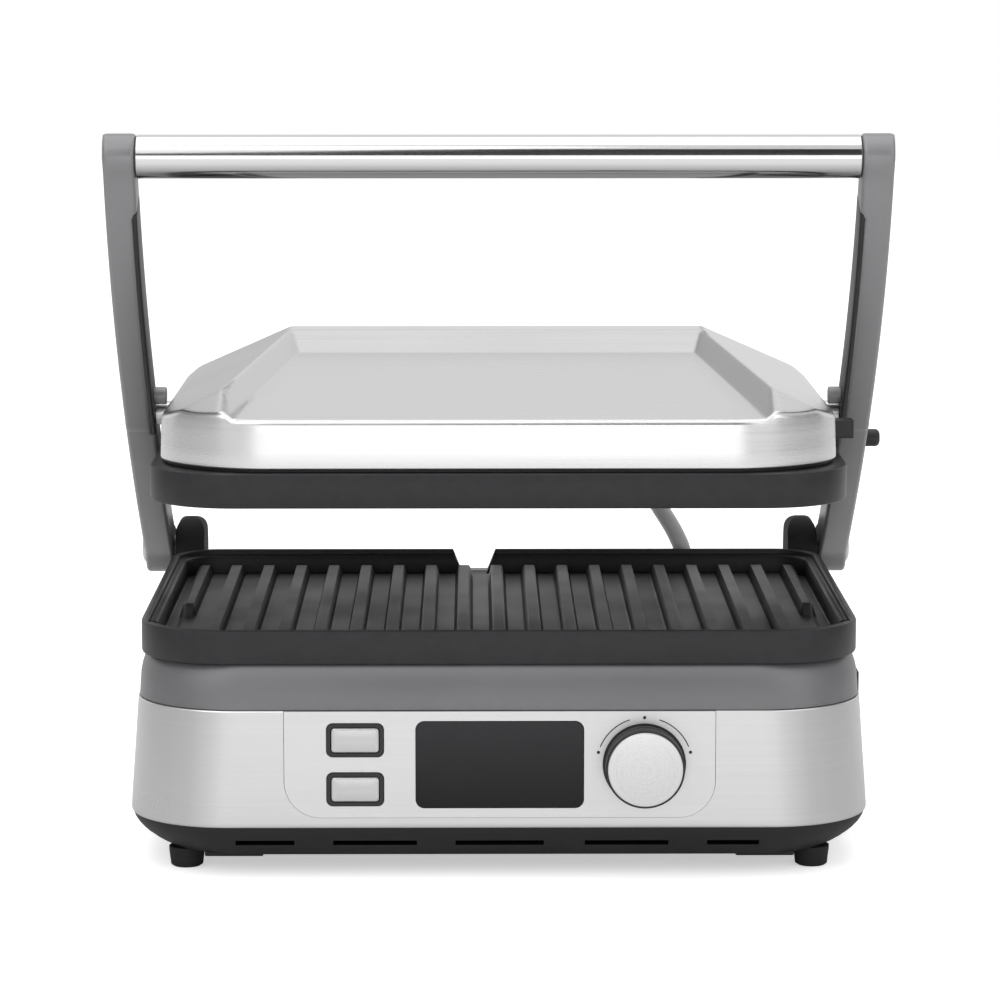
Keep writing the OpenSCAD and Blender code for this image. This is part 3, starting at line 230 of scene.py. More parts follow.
def placed(name, data):
    """Links a new object with a mesh, lamp or camera to the scene."""
    made = bpy.data.objects.new(name, data)
    bpy.context.scene.collection.objects.link(made)
    return made


def smooth(mesh, crisp):
    """Smooth shading, with edges over an angle in degrees left sharp."""
    mesh.shade_smooth()
    mesh.set_sharp_from_angle(angle=math.radians(crisp))


def add_piece(name, shape, body, slot, stands_for=(), finish=None, bevel=0.0, crisp=35):
    """Links a piece made of a mesh or of a list of grids, lets it ride on its body and gives
    it the slot's finish or the one named."""
    mesh = build(name, shape) if isinstance(shape, list) else shape
    piece = placed(name, mesh)
    mesh.materials.append(FINISHES[finish or slot])
    smooth(mesh, crisp)
    if bevel:
        edge = piece.modifiers.new("Edges", "BEVEL")
        edge.width = bevel
        edge.segments = 3
        edge.limit_method = "ANGLE"
        edge.angle_limit = math.radians(crisp)
        edge.harden_normals = True
        edge.use_clamp_overlap = True
    if body:
        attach(piece, body)
    if stands_for:
        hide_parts(*stands_for)
    return piece


def cut(piece, cutters, crisp=32):
    """Subtracts closed cutter meshes from a piece, and applies it."""
    for mesh in cutters:
        tool = placed("cutter", mesh)
        hole = piece.modifiers.new("Cut", "BOOLEAN")
        hole.operation = "DIFFERENCE"
        hole.solver = "EXACT"
        hole.object = tool
        bpy.context.view_layer.update()
        shape = piece.evaluated_get(bpy.context.evaluated_depsgraph_get())
        done = bpy.data.meshes.new_from_object(shape)
        piece.modifiers.remove(hole)
        piece.data = done
        bpy.data.objects.remove(tool)
    smooth(piece.data, crisp)


def box_mesh(low, high):
    """Closed box between two corners."""
    flat = np.array([(low[0], low[1]), (high[0], low[1]), (high[0], high[1]), (low[0], high[1])])
    return build("box", [stack([level(flat, low[2]), level(flat, high[2])])])


def room_for(node_name, gap, **spans):
    """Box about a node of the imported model, with a gap. A span such as y=(start, end) takes
    the place of the node's own along that axis."""
    low, high = corners(node_name)
    low, high = low - gap, high + gap
    for axis, span in spans.items():
        low["xyz".index(axis)], high["xyz".index(axis)] = span
    return box_mesh(low, high)


def turned(profile, centre, axis, columns):
    """Surface of revolution: profile rows are (radius, distance along the axis)."""
    profile = np.asarray(profile, float)
    turn = np.arange(columns) * FULL_TURN / columns
    radius, along = profile[:, :1], np.repeat(profile[:, 1:], columns, 1)
    across, up = radius * np.cos(turn), radius * np.sin(turn)
    order = (along, across, up) if axis == "X" else (across, along, up)
    return stack(np.stack(order, -1) + np.asarray(centre))


def prism(points, start, end):
    """An outline in X and Z carried along Y between two places."""
    points = np.asarray(points, float)
    return stack([np.insert(points, 1, depth, axis=1) for depth in (start, end)])


def named(stem, side):
    """A name for the left (-1) or the right (1) side."""
    return stem + ("_left" if side < 0 else "_right")


# ---------------------------------------------------------------- finishes


def shader_group(name, inputs, outputs):
    """Empty node group and the sockets of its inputs. An input whose default is a number is
    a value, any other is a vector; the outputs are values."""
    group = bpy.data.node_groups.new(name, "ShaderNodeTree")
    for label, default in inputs.items():
        kind = "NodeSocketFloat" if isinstance(default, float) else "NodeSocketVector"
        made = group.interface.new_socket(label, in_out="INPUT", socket_type=kind)
        if default is not None:
            made.default_value = default
    for label in outputs:
        group.interface.new_socket(label, in_out="OUTPUT", socket_type="NodeSocketFloat")
    return group, group.nodes.new("NodeGroupInput").outputs


def node(tree, kind, links=None, **values):
    """Adds a shader node; values set its properties, links feed its inputs."""
    made = tree.nodes.new(kind)
    for name, value in values.items():
        setattr(made, name, value)
    for name, value in (links or {}).items():
        target = made.inputs[name]
        if isinstance(value, bpy.types.NodeSocket):
            tree.links.new(value, target)
        else:
            target.default_value = value
    return made


def spread(tree, value, low, high, out_low=0.0, out_high=1.0):
    """Maps a value from one span to another."""
    names = ("Value", "From Min", "From Max", "To Min", "To Max")
    links = dict(zip(names, (value, low, high, out_low, out_high)))
    return node(tree, "ShaderNodeMapRange", links).outputs["Result"]


def maths(tree, operation, *values, vector=False):
    """Result of an operation on numbers, or on vectors."""
    kind = "ShaderNodeVectorMath" if vector else "ShaderNodeMath"
    return node(tree, kind, dict(enumerate(values)), operation=operation).outputs[0]


def noise(tree, vector, scale, detail=2.0, roughness=0.5):
    """Value of a noise texture."""
    links = {"Vector": vector, "Scale": scale, "Detail": detail, "Roughness": roughness}
    return node(tree, "ShaderNodeTexNoise", links).outputs["Fac"]


def brushed_group():
    """Long fine lines: noise stretched along one direction, with a soft broad drift."""
    inputs = {"Vector": None, "Stretch": (6, 900, 900)}
    group, given = shader_group("Brushed lines", inputs, ("Lines", "Drift"))
    fine = maths(group, "MULTIPLY", given["Vector"], given["Stretch"], vector=True)
    lines = noise(group, fine, 1.0, 5.0, 0.62)
    drift = noise(group, given["Vector"], 9.0, 3.0)
    node(group, "NodeGroupOutput", {"Lines": lines, "Drift": drift})
    return group


def grain_group():
    """Moulded grain: cells broken up by noise, and a broad tone that varies slowly."""
    inputs = {"Vector": None, "Scale": 1500.0}
    group, given = shader_group("Moulded grain", inputs, ("Height", "Tone"))
    spot, scale = given["Vector"], given["Scale"]
    cells = node(group, "ShaderNodeTexVoronoi", {"Vector": spot, "Scale": scale})
    speck = noise(group, spot, scale, 3.0)
    height = maths(group, "MULTIPLY", cells.outputs["Distance"], speck)
    tone = noise(group, spot, 14.0, 4.0)
    node(group, "NodeGroupOutput", {"Height": height, "Tone": tone})
    return group


def wear_group():
    """Edge wear: where the surface bends outwards, broken up by noise."""
    group, given = shader_group("Edge wear", {"Vector": None, "Amount": 0.5}, ("Mask",))
    bend = node(group, "ShaderNodeNewGeometry").outputs["Pointiness"]
    edge = spread(group, bend, 0.51, 0.58)
    broken = spread(group, noise(group, given["Vector"], 160.0, 4.0), 0.42, 0.62)
    both = maths(group, "MULTIPLY", edge, broken)
    node(group, "NodeGroupOutput", {"Mask": maths(group, "MULTIPLY", both, given["Amount"])})
    return group


# Spans of the normal's X or Z over which a mask rises from 0 to 1. The masks darken brushed steel by the way a
# face turns, which is painted shade.
LEAN_SPAN = (0.1, 0.4)
UP_SPAN = (0.45, 0.6)
DOWN_SPAN = (-0.25, -0.8)
LEVEL_SPAN = (0.96, 0.985)


def tilt_group():
    """Tilt of a sheet as masks from 0 to 1: Outward for upright parts that turn away from the
    middle, Left and Right for parts that look up and lean that way, Down for parts that face
    the floor, Up for those that look up and Level for those that lie flat. Up also picks the
    brushing direction, and brushed_finish uses the other masks to paint shade by the way a
    face turns."""
    outputs = ("Outward", "Left", "Right", "Down", "Up", "Level")
    group, given = shader_group("Outward tilt", {"Vector": None, "Normal": None}, outputs)
    spot = node(group, "ShaderNodeSeparateXYZ", {0: given["Vector"]}).outputs
    lean = node(group, "ShaderNodeSeparateXYZ", {0: given["Normal"]}).outputs
    away = maths(group, "MULTIPLY", maths(group, "SIGN", spot["X"]), lean["X"])
    spans = (("Up", UP_SPAN), ("Down", DOWN_SPAN), ("Level", LEVEL_SPAN))
    masks = {name: spread(group, lean["Z"], *span) for name, span in spans}
    upright = maths(group, "SUBTRACT", 1.0, masks["Up"])
    for name, value, sign, kind in (
        ("Outward", away, 1, upright),
        ("Left", lean["X"], -1, masks["Up"]),
        ("Right", lean["X"], 1, masks["Up"]),
    ):
        leant = spread(group, value, sign * LEAN_SPAN[0], sign * LEAN_SPAN[1])
        masks[name] = maths(group, "MULTIPLY", leant, kind)
    node(group, "NodeGroupOutput", masks)
    return group


GROUPS = {}


def new_finish(name):
    """Bare material: its tree and the object coordinates."""
    finish = bpy.data.materials.new(name)
    finish.use_nodes = True
    finish.node_tree.nodes.clear()
    return finish, finish.node_tree, node(finish.node_tree, "ShaderNodeTexCoord").outputs["Object"]


def end_finish(tree, links):
    """Adds the shader, fed by links, and the material's end."""
    shader = node(tree, "ShaderNodeBsdfPrincipled", links)
    node(tree, "ShaderNodeOutputMaterial", {"Surface": shader.outputs[0]})


def group_node(tree, name, links):
    """Places one of the shared node groups, and gives its outputs."""
    return node(tree, "ShaderNodeGroup", links, node_tree=GROUPS[name]).outputs


def shade(colour, factor):
    """A colour made darker or lighter by a factor."""
    return tuple(min(1.0, channel * factor) for channel in colour)


def colour_ramp(tree, value, colour, dark, light):
    """A colour made darker and lighter by two factors, mixed by a value."""
    links = {0: value, 6: (*shade(colour, dark), 1), 7: (*shade(colour, light), 1)}
    return node(tree, "ShaderNodeMix", links, data_type="RGBA").outputs[2]


def bump(tree, height, strength, distance=0.3 * MM):
    """Normal of a surface raised by a height map."""
    links = {"Height": height, "Strength": strength, "Distance": distance}
    return node(tree, "ShaderNodeBump", links).outputs["Normal"]


ALONG = (5, 900, 900)
LEVEL_LINES = (5, 5, 900)
LINES_ON_TOP = (5, 900, 5)
LINE_TONES = (0.92, 1.06)


def brushed_finish(
    name, colour, stretch=ALONG, rough=(0.24, 0.36), depth=0.06, outward_shade=1.0, down=1.0, top=(1.0,) * 3
):
    """Brushed steel: lines in tone, roughness and relief, and painted shade on bent parts: the
    colour is scaled by outward_shade where an upright face turns away from the middle and by
    down where a face looks at the floor. The stretch is for upright faces, and faces that look
    up are brushed along X, with the painted shade factors of top where they lean left, lean
    right or lie level."""
    finish, tree, place = new_finish(name)
    normal = node(tree, "ShaderNodeTexCoord").outputs["Normal"]
    tilt = group_node(tree, "tilt", {"Vector": place, "Normal": normal})
    turns = {0: tilt["Up"], 4: stretch, 5: LINES_ON_TOP}
    along = node(tree, "ShaderNodeMix", turns, data_type="VECTOR").outputs[1]
    lines = group_node(tree, "brushed", {"Vector": place, "Stretch": along})
    body = colour_ramp(tree, lines["Lines"], colour, *LINE_TONES)
    # Painted shade: the colour is scaled down where a face turns outwards, faces the floor, leans left, leans
    # right or lies level.
    masks = {"Outward": outward_shade, "Down": down, "Left": top[0], "Right": top[1], "Level": top[2]}
    for kind, tone in masks.items():
        if tone < 1:
            links = {0: body, "Scale": spread(tree, tilt[kind], 0.0, 1.0, 1.0, tone)}
            body = node(tree, "ShaderNodeVectorMath", links, operation="SCALE").outputs[0]
    both = maths(tree, "ADD", lines["Lines"], lines["Drift"])
    links = {"Base Color": body, "Metallic": 1.0, "Roughness": spread(tree, both, 0.7, 1.3, *rough)}
    end_finish(tree, {**links, "Normal": bump(tree, lines["Lines"], depth, 0.4 * MM)})
    return finish


def grained_finish(
    name, colour, scale, rough=(0.42, 0.56), depth=0.15, wear=0.0, metallic=0.0, specular=0.5
):
    """Moulded or painted surface: fine grain, slow tone changes and worn edges."""
    finish, tree, place = new_finish(name)
    grain = group_node(tree, "grain", {"Vector": place, "Scale": scale})
    body = colour_ramp(tree, grain["Tone"], colour, 0.88, 1.12)
    edge = group_node(tree, "wear", {"Vector": place, "Amount": wear})["Mask"]
    worn = node(tree, "ShaderNodeMix", {0: edge, 6: body, 7: (*shade(colour, 2.2), 1)}, data_type="RGBA")
    end_finish(
        tree,
        {
            "Base Color": worn.outputs[2],
            "Metallic": metallic,
            "Specular IOR Level": specular,
            "Roughness": spread(tree, grain["Tone"], 0.3, 0.7, *rough),
            "Normal": bump(tree, grain["Height"], depth),
        },
    )
    return finish


def make_finishes(colours):
    """Every finish of the grill, by the record's slot or by the piece's own name."""
    GROUPS["brushed"] = brushed_group()
    GROUPS["grain"] = grain_group()
    GROUPS["wear"] = wear_group()
    GROUPS["tilt"] = tilt_group()
    black = colours.black
    return {
        # Painted shade on the lid: faces that lean left keep 0.42 of the colour, faces that lean right 0.86 and
        # level faces 0.88.
        "cover_steel": brushed_finish(
            "Lid steel", colours.steel, LEVEL_LINES, (0.25, 0.33), 0.03, top=(0.42, 0.86, 0.88)
        ),
        # Painted shade: the panel's corners, which turn away from the middle, are darkened to 0.8 of the colour.
        "brushed": brushed_finish(
            "Panel steel", colours.panel, LEVEL_LINES, (0.26, 0.36), 0.04, outward_shade=0.8
        ),
        "control_steel": brushed_finish("Control steel", colours.control, rough=(0.30, 0.42)),
        # Painted shade: faces of the handle that look at the floor are darkened to 0.35 of the colour.
        "handle_steel": brushed_finish(
            "Handle steel", colours.handle, (6, 700, 700), (0.10, 0.16), 0.01, down=0.35
        ),
        "part_steel": brushed_finish("Plain steel", (0.50, 0.50, 0.51), rough=(0.26, 0.40)),
        "reflector": brushed_finish("Reflector", (0.66, 0.66, 0.67), rough=(0.2, 0.3)),
        "element": grained_finish("Heating rod", (0.09, 0.075, 0.07), 1200, (0.5, 0.7), metallic=0.6),
        "brass": brushed_finish("Sensor brass", (0.62, 0.45, 0.20), rough=(0.3, 0.4)),
        "shell_grey": grained_finish("Band grey", colours.band, 2600, (0.36, 0.46), 0.05, 0.1, 0.3),
        "arm_grey": grained_finish("Arm grey", colours.paint, 2600, (0.34, 0.46), 0.05, 0.1, 0.35),
        "tray_black": grained_finish("Tray black", black, 1400, (0.50, 0.64), 0.25, 0.1, specular=0.2),
        "black_plastic": grained_finish(
            "Black plastic", black, 1800, (0.38, 0.52), 0.12, 0.1, specular=0.35
        ),
        "hinge_plastic": grained_finish(
            "Hinge plastic", shade(black, 1.5), 1100, (0.7, 0.8), 0.5, 0.1, specular=0.15
        ),
        "foot_rubber": grained_finish("Foot rubber", black, 1500, (0.7, 0.85), 0.2, specular=0.3),
        "plate_coating": grained_finish(
            "Plate coating", colours.coating, 2100, (0.38, 0.52), 0.18, 0.25, specular=0.23
        ),
        "lead_grey": grained_finish("Lead sleeve", colours.lead, 1500, (0.42, 0.52), 0.08),
        "board_green": grained_finish("Circuit board", (0.03, 0.11, 0.05), 900, (0.3, 0.45), 0.1),
        "display_panel": grained_finish("Display panel", (0.10, 0.12, 0.11), 600, (0.4, 0.5), 0.02),
        "button_silver": brushed_finish("Button face", (0.46,) * 3, rough=(0.30, 0.40), depth=0.02),
        "dial_silver": dial_finish(colours.dial),
        "display_glass": display_finish(),
    }


def dial_finish(colour):
    """Turned face: fine rings about the dial's axis in roughness and relief."""
    finish, tree, place = new_finish("Dial face")
    moved = maths(tree, "SUBTRACT", place, tuple((DIAL_LOW + DIAL_HIGH) / 2), vector=True)
    flat = maths(tree, "MULTIPLY", moved, (1, 0, 1), vector=True)
    away = node(tree, "ShaderNodeVectorMath", {0: flat}, operation="LENGTH").outputs["Value"]
    links = {"W": away, "Scale": 2600.0}
    rings = node(tree, "ShaderNodeTexNoise", links, noise_dimensions="1D").outputs["Fac"]
    end_finish(
        tree,
        {
            "Base Color": colour_ramp(tree, rings, colour, *LINE_TONES),
            "Metallic": 0.85,
            "Roughness": spread(tree, rings, 0.3, 0.7, 0.24, 0.36),
            "Normal": bump(tree, rings, 0.05),
        },
    )
    return finish


def display_finish():
    """Smoked display window: darker to the lower edge as painted shade, with faint handling marks."""
    finish, tree, place = new_finish("Display window")
    up = node(tree, "ShaderNodeSeparateXYZ", {0: place}).outputs["Z"]
    height = spread(tree, up, float(CONTROL_LOW[2]), float(CONTROL_HIGH[2]))
    # Painted shade: the window's colour runs from near black at the lower edge to lighter at the top.
    painted_shade_tones = {0: height, 6: (0.002, 0.002, 0.0025, 1), 7: (0.022, 0.022, 0.024, 1)}
    marks = noise(tree, place, 60.0, 5.0)
    end_finish(
        tree,
        {
            "Base Color": node(tree, "ShaderNodeMix", painted_shade_tones, data_type="RGBA").outputs[2],
            "Specular IOR Level": 0.2,
            "Roughness": spread(tree, marks, 0.4, 0.7, 0.12, 0.22),
        },
    )
    return finish


FINISHES = {}


class GRILL_OT_finishes(bpy.types.Operator):
    """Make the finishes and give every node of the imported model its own"""

    bl_idname = "grill.finishes"
    bl_label = "Finishes"

    def execute(self, context):
        FINISHES.update(make_finishes(context.scene.grill_colours))
        for entry in frame["record"]["subparts"]:
            part = frame["nodes"][entry["node"]]
            part.data.materials.clear()
            part.data.materials.append(FINISHES[entry["material_slot"]])
        return {"FINISHED"}


# -------------------------------------------------------------------- base


GAP = 0.3 * MM  # room about a part in its opening
# Half width, front, rear and both radii of the pan's hollow, above and on its floor, mm.
TRAY_EDGES = ((158, -132.5, 133.5, 40, 18), (148, -122.5, 128.5, 34, 18))
TRAY_SLOTS = ((-103.5, 26), (-55, 37), (0, 39), (56, 37), (103, 23))  # middle and width, mm
BAND_PROFILE = (
    (0.0, 0.9, 1.4), (0.4, 0.5, 1.2), (6, 0.8, 2.3), (11, 1.1, 3.3), (14, 1.7, 4.5),
    (16.5, 2.5, 5.7), (18.3, 3.5, 6.9), (19.2, 4.1, 7.7), (19.6, 4.8, 8.5),
)  # height, and how far the sides and the front are drawn in, mm
PANEL_FOOT = ((0, 1.1), (0.15, 0.75), (0.5, 0.36), (1.0, 0.14), (1.6, 0.03))  # height, inset, mm


def base_ring(height, sizes, inset=0.0, tuck=0.0, front_in=0.0):
    """The base's outline at a height: its flanks lean in evenly from the tray up."""
    up = min(max((height - PANEL_LOW[2]) / (PANEL_HIGH[2] - PANEL_LOW[2]), 0), 1)
    half = PANEL_HIGH[0] - sizes.flank_lean * up - tuck - inset
    front, rear = PANEL_LOW[1] + front_in + inset, SHELL_HIGH[1] - inset
    radii = sizes.front_radius - inset, max(sizes.rear_radius - inset, 2 * MM)
    return level(outline(half, front, rear, *radii), height)


class GRILL_OT_base(bpy.types.Operator):
    """Bottom tray, housing, grey band and steel front panel"""

    bl_idname = "grill.base"
    bl_label = "Base"

    def execute(self, context):
        sizes = context.scene.grill_sizes
        self.tray(sizes)
        self.housing(sizes)
        self.band(sizes)
        self.panel(sizes)
        return {"FINISHED"}

    def tray(self, sizes):
        """Bottom tray: rings that swell from the floor to the panel along a quarter wave."""
        lifted, power, narrowing = 1.6 * MM, 0.9, 0.4
        floor, top = TRAY_LOW[2] + lifted, TRAY_HIGH[2]
        edge, rear_edge, rear_draw = 0.8 * MM, 0.6 * MM, 7.4 * MM
        front_radius, rear_radius = 45 * MM, 22 * MM
        rings = []
        for step in np.linspace(0, 1, 9):
            swell = math.sin(step * math.pi / 2) ** power
            inset = edge + (sizes.tray_draw - edge) * (1 - swell)
            half, front = SHELL_HIGH[0] - inset, PANEL_LOW[1] + inset
            rear = SHELL_HIGH[1] - rear_edge - rear_draw * (1 - swell)
            ring = outline(half, front, rear, front_radius - narrowing * inset, rear_radius)
            rings.append(level(ring, floor + (top - floor) * step))
        thick = 2.4 * MM
        for edges, height in zip(TRAY_EDGES, (top, floor + thick)):
            rings.append(level(outline(*np.multiply(edges, MM)), height))
        piece = add_piece("bottom_pan", [stack(rings)], "base", "tray_black", ("bottom_tray",))
        slots = []
        slot_low, slot_high, ahead, deep = 15.0 * MM, 17.6 * MM, 2 * MM, 30 * MM
        for middle, width in TRAY_SLOTS:
            low = ((middle - width / 2) * MM, PANEL_LOW[1] - ahead, slot_low)
            high = ((middle + width / 2) * MM, PANEL_LOW[1] + deep, slot_high)
            slots.append(box_mesh(low, high))
        cut(piece, slots)
        skid_at, skid_half, skid_front, skid_rear = 118 * MM, 13 * MM, -122 * MM, 120 * MM
        for side in (-1, 1):
            low = (side * skid_at - skid_half, skid_front, TRAY_LOW[2])
            skid = box_mesh(low, (side * skid_at + skid_half, skid_rear, floor + MM))
            add_piece(named("skid", side), skid, "base", "tray_black", bevel=0.6 * MM)

    def housing(self, sizes):
        """Housing: outer wall, its upper edge and an inner wall, closed at both ends."""
        panel_room, wall = 1.6 * MM, 4 * MM
        heights = np.linspace(PANEL_LOW[2], PANEL_HIGH[2], 9)
        rings = [base_ring(z, sizes) for z in heights]
        for ring in rings:
            behind = ring[:, 1] < PANEL_HIGH[1] + GAP
            shrink = 1 - panel_room / np.maximum(np.hypot(ring[:, 0], ring[:, 1]), 10 * MM)
            ring[behind, :2] *= shrink[behind, None]
        rings += [base_ring(z, sizes, wall) for z in heights[::-1]]
        piece = add_piece("housing", [hoop(rings)], "base", "shell_grey", ("base_shell",))
        rear_wall, lip, depth = (120 * MM, 150 * MM), 3 * MM, 12 * MM
        window = room_for("drip_tray", GAP, y=rear_wall)
        cut(piece, [window, control_opening(lip, depth), release_pocket()])

    def band(self, sizes):
        """Grey band: the profile rounds in under the plate and turns onto the deck."""
        low, high = BAND_LOW[2], BAND_HIGH[2]
        rings = [
            base_ring(low + up * MM, sizes, tuck=side * MM, front_in=front * MM)
            for up, side, front in BAND_PROFILE
        ]
        under, deck_rear, thick = 7.5 * MM, 99.5 * MM, 3.2 * MM
        front_radius, rear_radius = sizes.plate_front_radius - under, sizes.plate_rear_radius - under
        deck = outline(
            PLATE_HIGH[0] - under, PLATE_LOW[1] + under, deck_rear, front_radius, rear_radius
        )
        rings += [level(deck, high), level(deck, high - thick)]
        wall, tuck, front_in = 5 * MM, 2 * MM, 4 * MM
        rings += [base_ring(z, sizes, wall, tuck, front_in) for z in (high - thick, low)]
        piece = add_piece("band", [hoop(rings)], "base", "shell_grey", ("deck_band",))
        below, above = 20 * MM, 10 * MM
        passage = room_for("grease_chute", GAP, z=(high - below, high + above))
        cut(piece, [passage, release_pocket()])

    def panel(self, sizes):
        """Steel front panel: a thin closed profile carried round the front of the base."""
        bottom, top = PANEL_LOW[2], PANEL_HIGH[2]
        lip, lip_in, straight = 0.5 * MM, 0.35 * MM, 2.4 * MM
        profile = [(bottom + up * MM, inset * MM) for up, inset in PANEL_FOOT]
        profile += [(z, 0.0) for z in np.linspace(bottom + straight, top - lip, 10)]
        profile.append((top, lip_in))
        rings = [self.wrap(z, sizes, inset) for z, inset in profile]
        rings += [self.wrap(z, sizes, sizes.sheet) for z, inset in profile[::-1]]
        mesh = build("front_panel", [(np.stack(rings), True, False, False)])
        work = bmesh.new()
        work.from_mesh(mesh)
        bmesh.ops.holes_fill(work, edges=[edge for edge in work.edges if edge.is_boundary])
        bmesh.ops.recalc_face_normals(work, faces=work.faces)
        work.to_mesh(mesh)
        work.free()
        piece = add_piece("front_panel", mesh, "base", "brushed", ("front_fascia",))
        seam, depth, rise = 0.25 * MM, 10 * MM, 10 * MM
        cut(piece, [control_opening(-seam, depth, rise)])

    def wrap(self, height, sizes, inset):
        """Open outline round the front: left end, corner, front, corner, right end."""
        up = (height - PANEL_LOW[2]) / (PANEL_HIGH[2] - PANEL_LOW[2])
        half = PANEL_HIGH[0] - sizes.flank_lean * up - inset
        front, end = PANEL_LOW[1] + inset, PANEL_HIGH[1]
        radius = sizes.front_radius - inset
        turn = np.linspace(0, math.pi / 2, 25)
        x, y = -half + radius * (1 - np.cos(turn)), front + radius * (1 - np.sin(turn))
        left = np.stack([x, y], 1)
        right = left[::-1] * (-1, 1)
        straight = np.linspace(left[-1], right[0], 60)[1:-1]
        flat = np.concatenate([[[-half, end]], left, straight, right, [[half, end]]])
        return level(flat, height)


def control_opening(inset, depth, rise=0.0):
    """Cutter with the outline of the control plate: straight above, round below."""
    half, radius, ahead = CONTROL_HIGH[0] - inset, 16 * MM - inset, 10 * MM
    low, high = CONTROL_LOW[2] + inset, CONTROL_HIGH[2] + rise
    turn = np.linspace(0, math.pi / 2, 13)
    x, z = half - radius * (1 - np.sin(turn)), low + radius * (1 - np.cos(turn))
    right = np.stack([x, z], 1)
    points = np.concatenate([right, [[half, high], [-half, high]], right[::-1] * (-1, 1)])
    return build("opening", [prism(points, PANEL_LOW[1] - ahead, PANEL_LOW[1] + depth)])


def release_pocket():
    """Pocket of the lower release button in the right flank."""
    low, high = corners("lower_release_button")
    beyond = 10 * MM
    return room_for("lower_release_button", GAP, x=(low[0] - beyond, high[0] + beyond))


# ------------------------------------------------------------------ plates


FIELD_COLUMNS = 421


def rib_height(x, y, sizes, start, end, short):
    """Height of the ribs over the floor: across, a trapezoid with rounded shoulders about
    each rib's middle; along, it ramps up and down at the ends."""
    last = sizes.rib_count // 2
    number = np.clip(np.round(x / sizes.rib_pitch), -last, last)
    away = np.abs(x - number * sizes.rib_pitch)
    half_foot, half_crest = sizes.rib_foot / 2, sizes.rib_crest / 2
    across = np.clip((half_foot - away) / (half_foot - half_crest), 0, 1)
    across = across * across * (3 - 2 * across)
    first = np.where(np.abs(number) == last, start + short, start)
    along = np.clip(np.minimum(y - first, end - y) / sizes.rib_height, 0, 1)
    return sizes.rib_height * across * np.sin(along * math.pi / 2)


def plate_field(sizes, half, front, rear, base, drop, start, end, short):
    """Floor with ribs: columns run from side to side inside the rim at each depth, and the
    heights are those of rib_height over the grease channel's bed."""
    inset = sizes.rim + 0.6 * MM
    half, front, rear = half - inset, front + inset, rear - inset
    front_radius, rear_radius = sizes.plate_front_radius - inset, sizes.plate_rear_radius - inset
    ahead, ramp, short_ramp = 2 * MM, 12 * MM, 10 * MM
    spans = (
        (front, front + front_radius, 14),
        (start - ahead, start + ramp, 12),
        (start + short - ahead, start + short + short_ramp, 10),
        (front + front_radius, rear - rear_radius, 20),
        (end - ramp, end + ahead, 12),
        (rear - rear_radius, rear, 12),
    )
    rows = np.unique(np.concatenate([np.linspace(*span) for span in spans]))
    rows = rows[(rows >= front) & (rows <= rear)]
    into_front = np.clip(front + front_radius - rows, 0, front_radius)
    into_rear = np.clip(rows - rear + rear_radius, 0, rear_radius)
    width = half - front_radius + np.sqrt(front_radius**2 - into_front**2)
    rear_width = half - rear_radius + np.sqrt(rear_radius**2 - into_rear**2)
    width = np.where(into_rear > 0, rear_width, width)[:, None]
    x = width * np.linspace(-1, 1, FIELD_COLUMNS)
    y = np.repeat(rows[:, None], x.shape[1], 1)
    edge = np.minimum(np.minimum(y - front, rear - y), width - np.abs(x))
    channel_width, channel_wall, channel_depth = 7 * MM, 1.5 * MM, MM
    channel = channel_depth * np.clip((channel_width - edge) / channel_wall, 0, 1)
    height = rib_height(x, y, sizes, start, end, short) - channel
    top = np.stack([x, y, base + height], -1)
    under = np.stack([x, y, np.full_like(x, base - drop)], -1)
    return np.concatenate([top, under[:, ::-1]], 1)


def rim_rings(sizes, half, front, rear, base, height, floor):
    """Rim of a plate: outer wall with rounded edges, a stepped crest and the inner wall."""
    crest, bed = height / MM, floor / MM
    profile = (
        (1.0, 0.0), (0.3, 0.3), (0.0, 1.0), (0.0, crest - 1.2), (0.35, crest - 0.35),
        (1.2, crest), (3.0, crest), (3.7, crest - 0.5), (3.9, crest - 2.4), (4.3, crest - 2.7),
        (6.0, crest - 2.7), (6.7, crest - 3.2), (7.1, crest - 4.2), (7.6, bed - 0.8),
        (8.2, bed - 1.0), (8.2, 1.0), (7.4, 0.0),
    )
    rings = []
    for inset, up in profile:
        radii = sizes.plate_front_radius - inset * MM, sizes.plate_rear_radius - inset * MM
        flat = outline(half - inset * MM, front + inset * MM, rear - inset * MM, *radii)
        rings.append(level(flat, base + up * MM))
    return np.stack(rings)


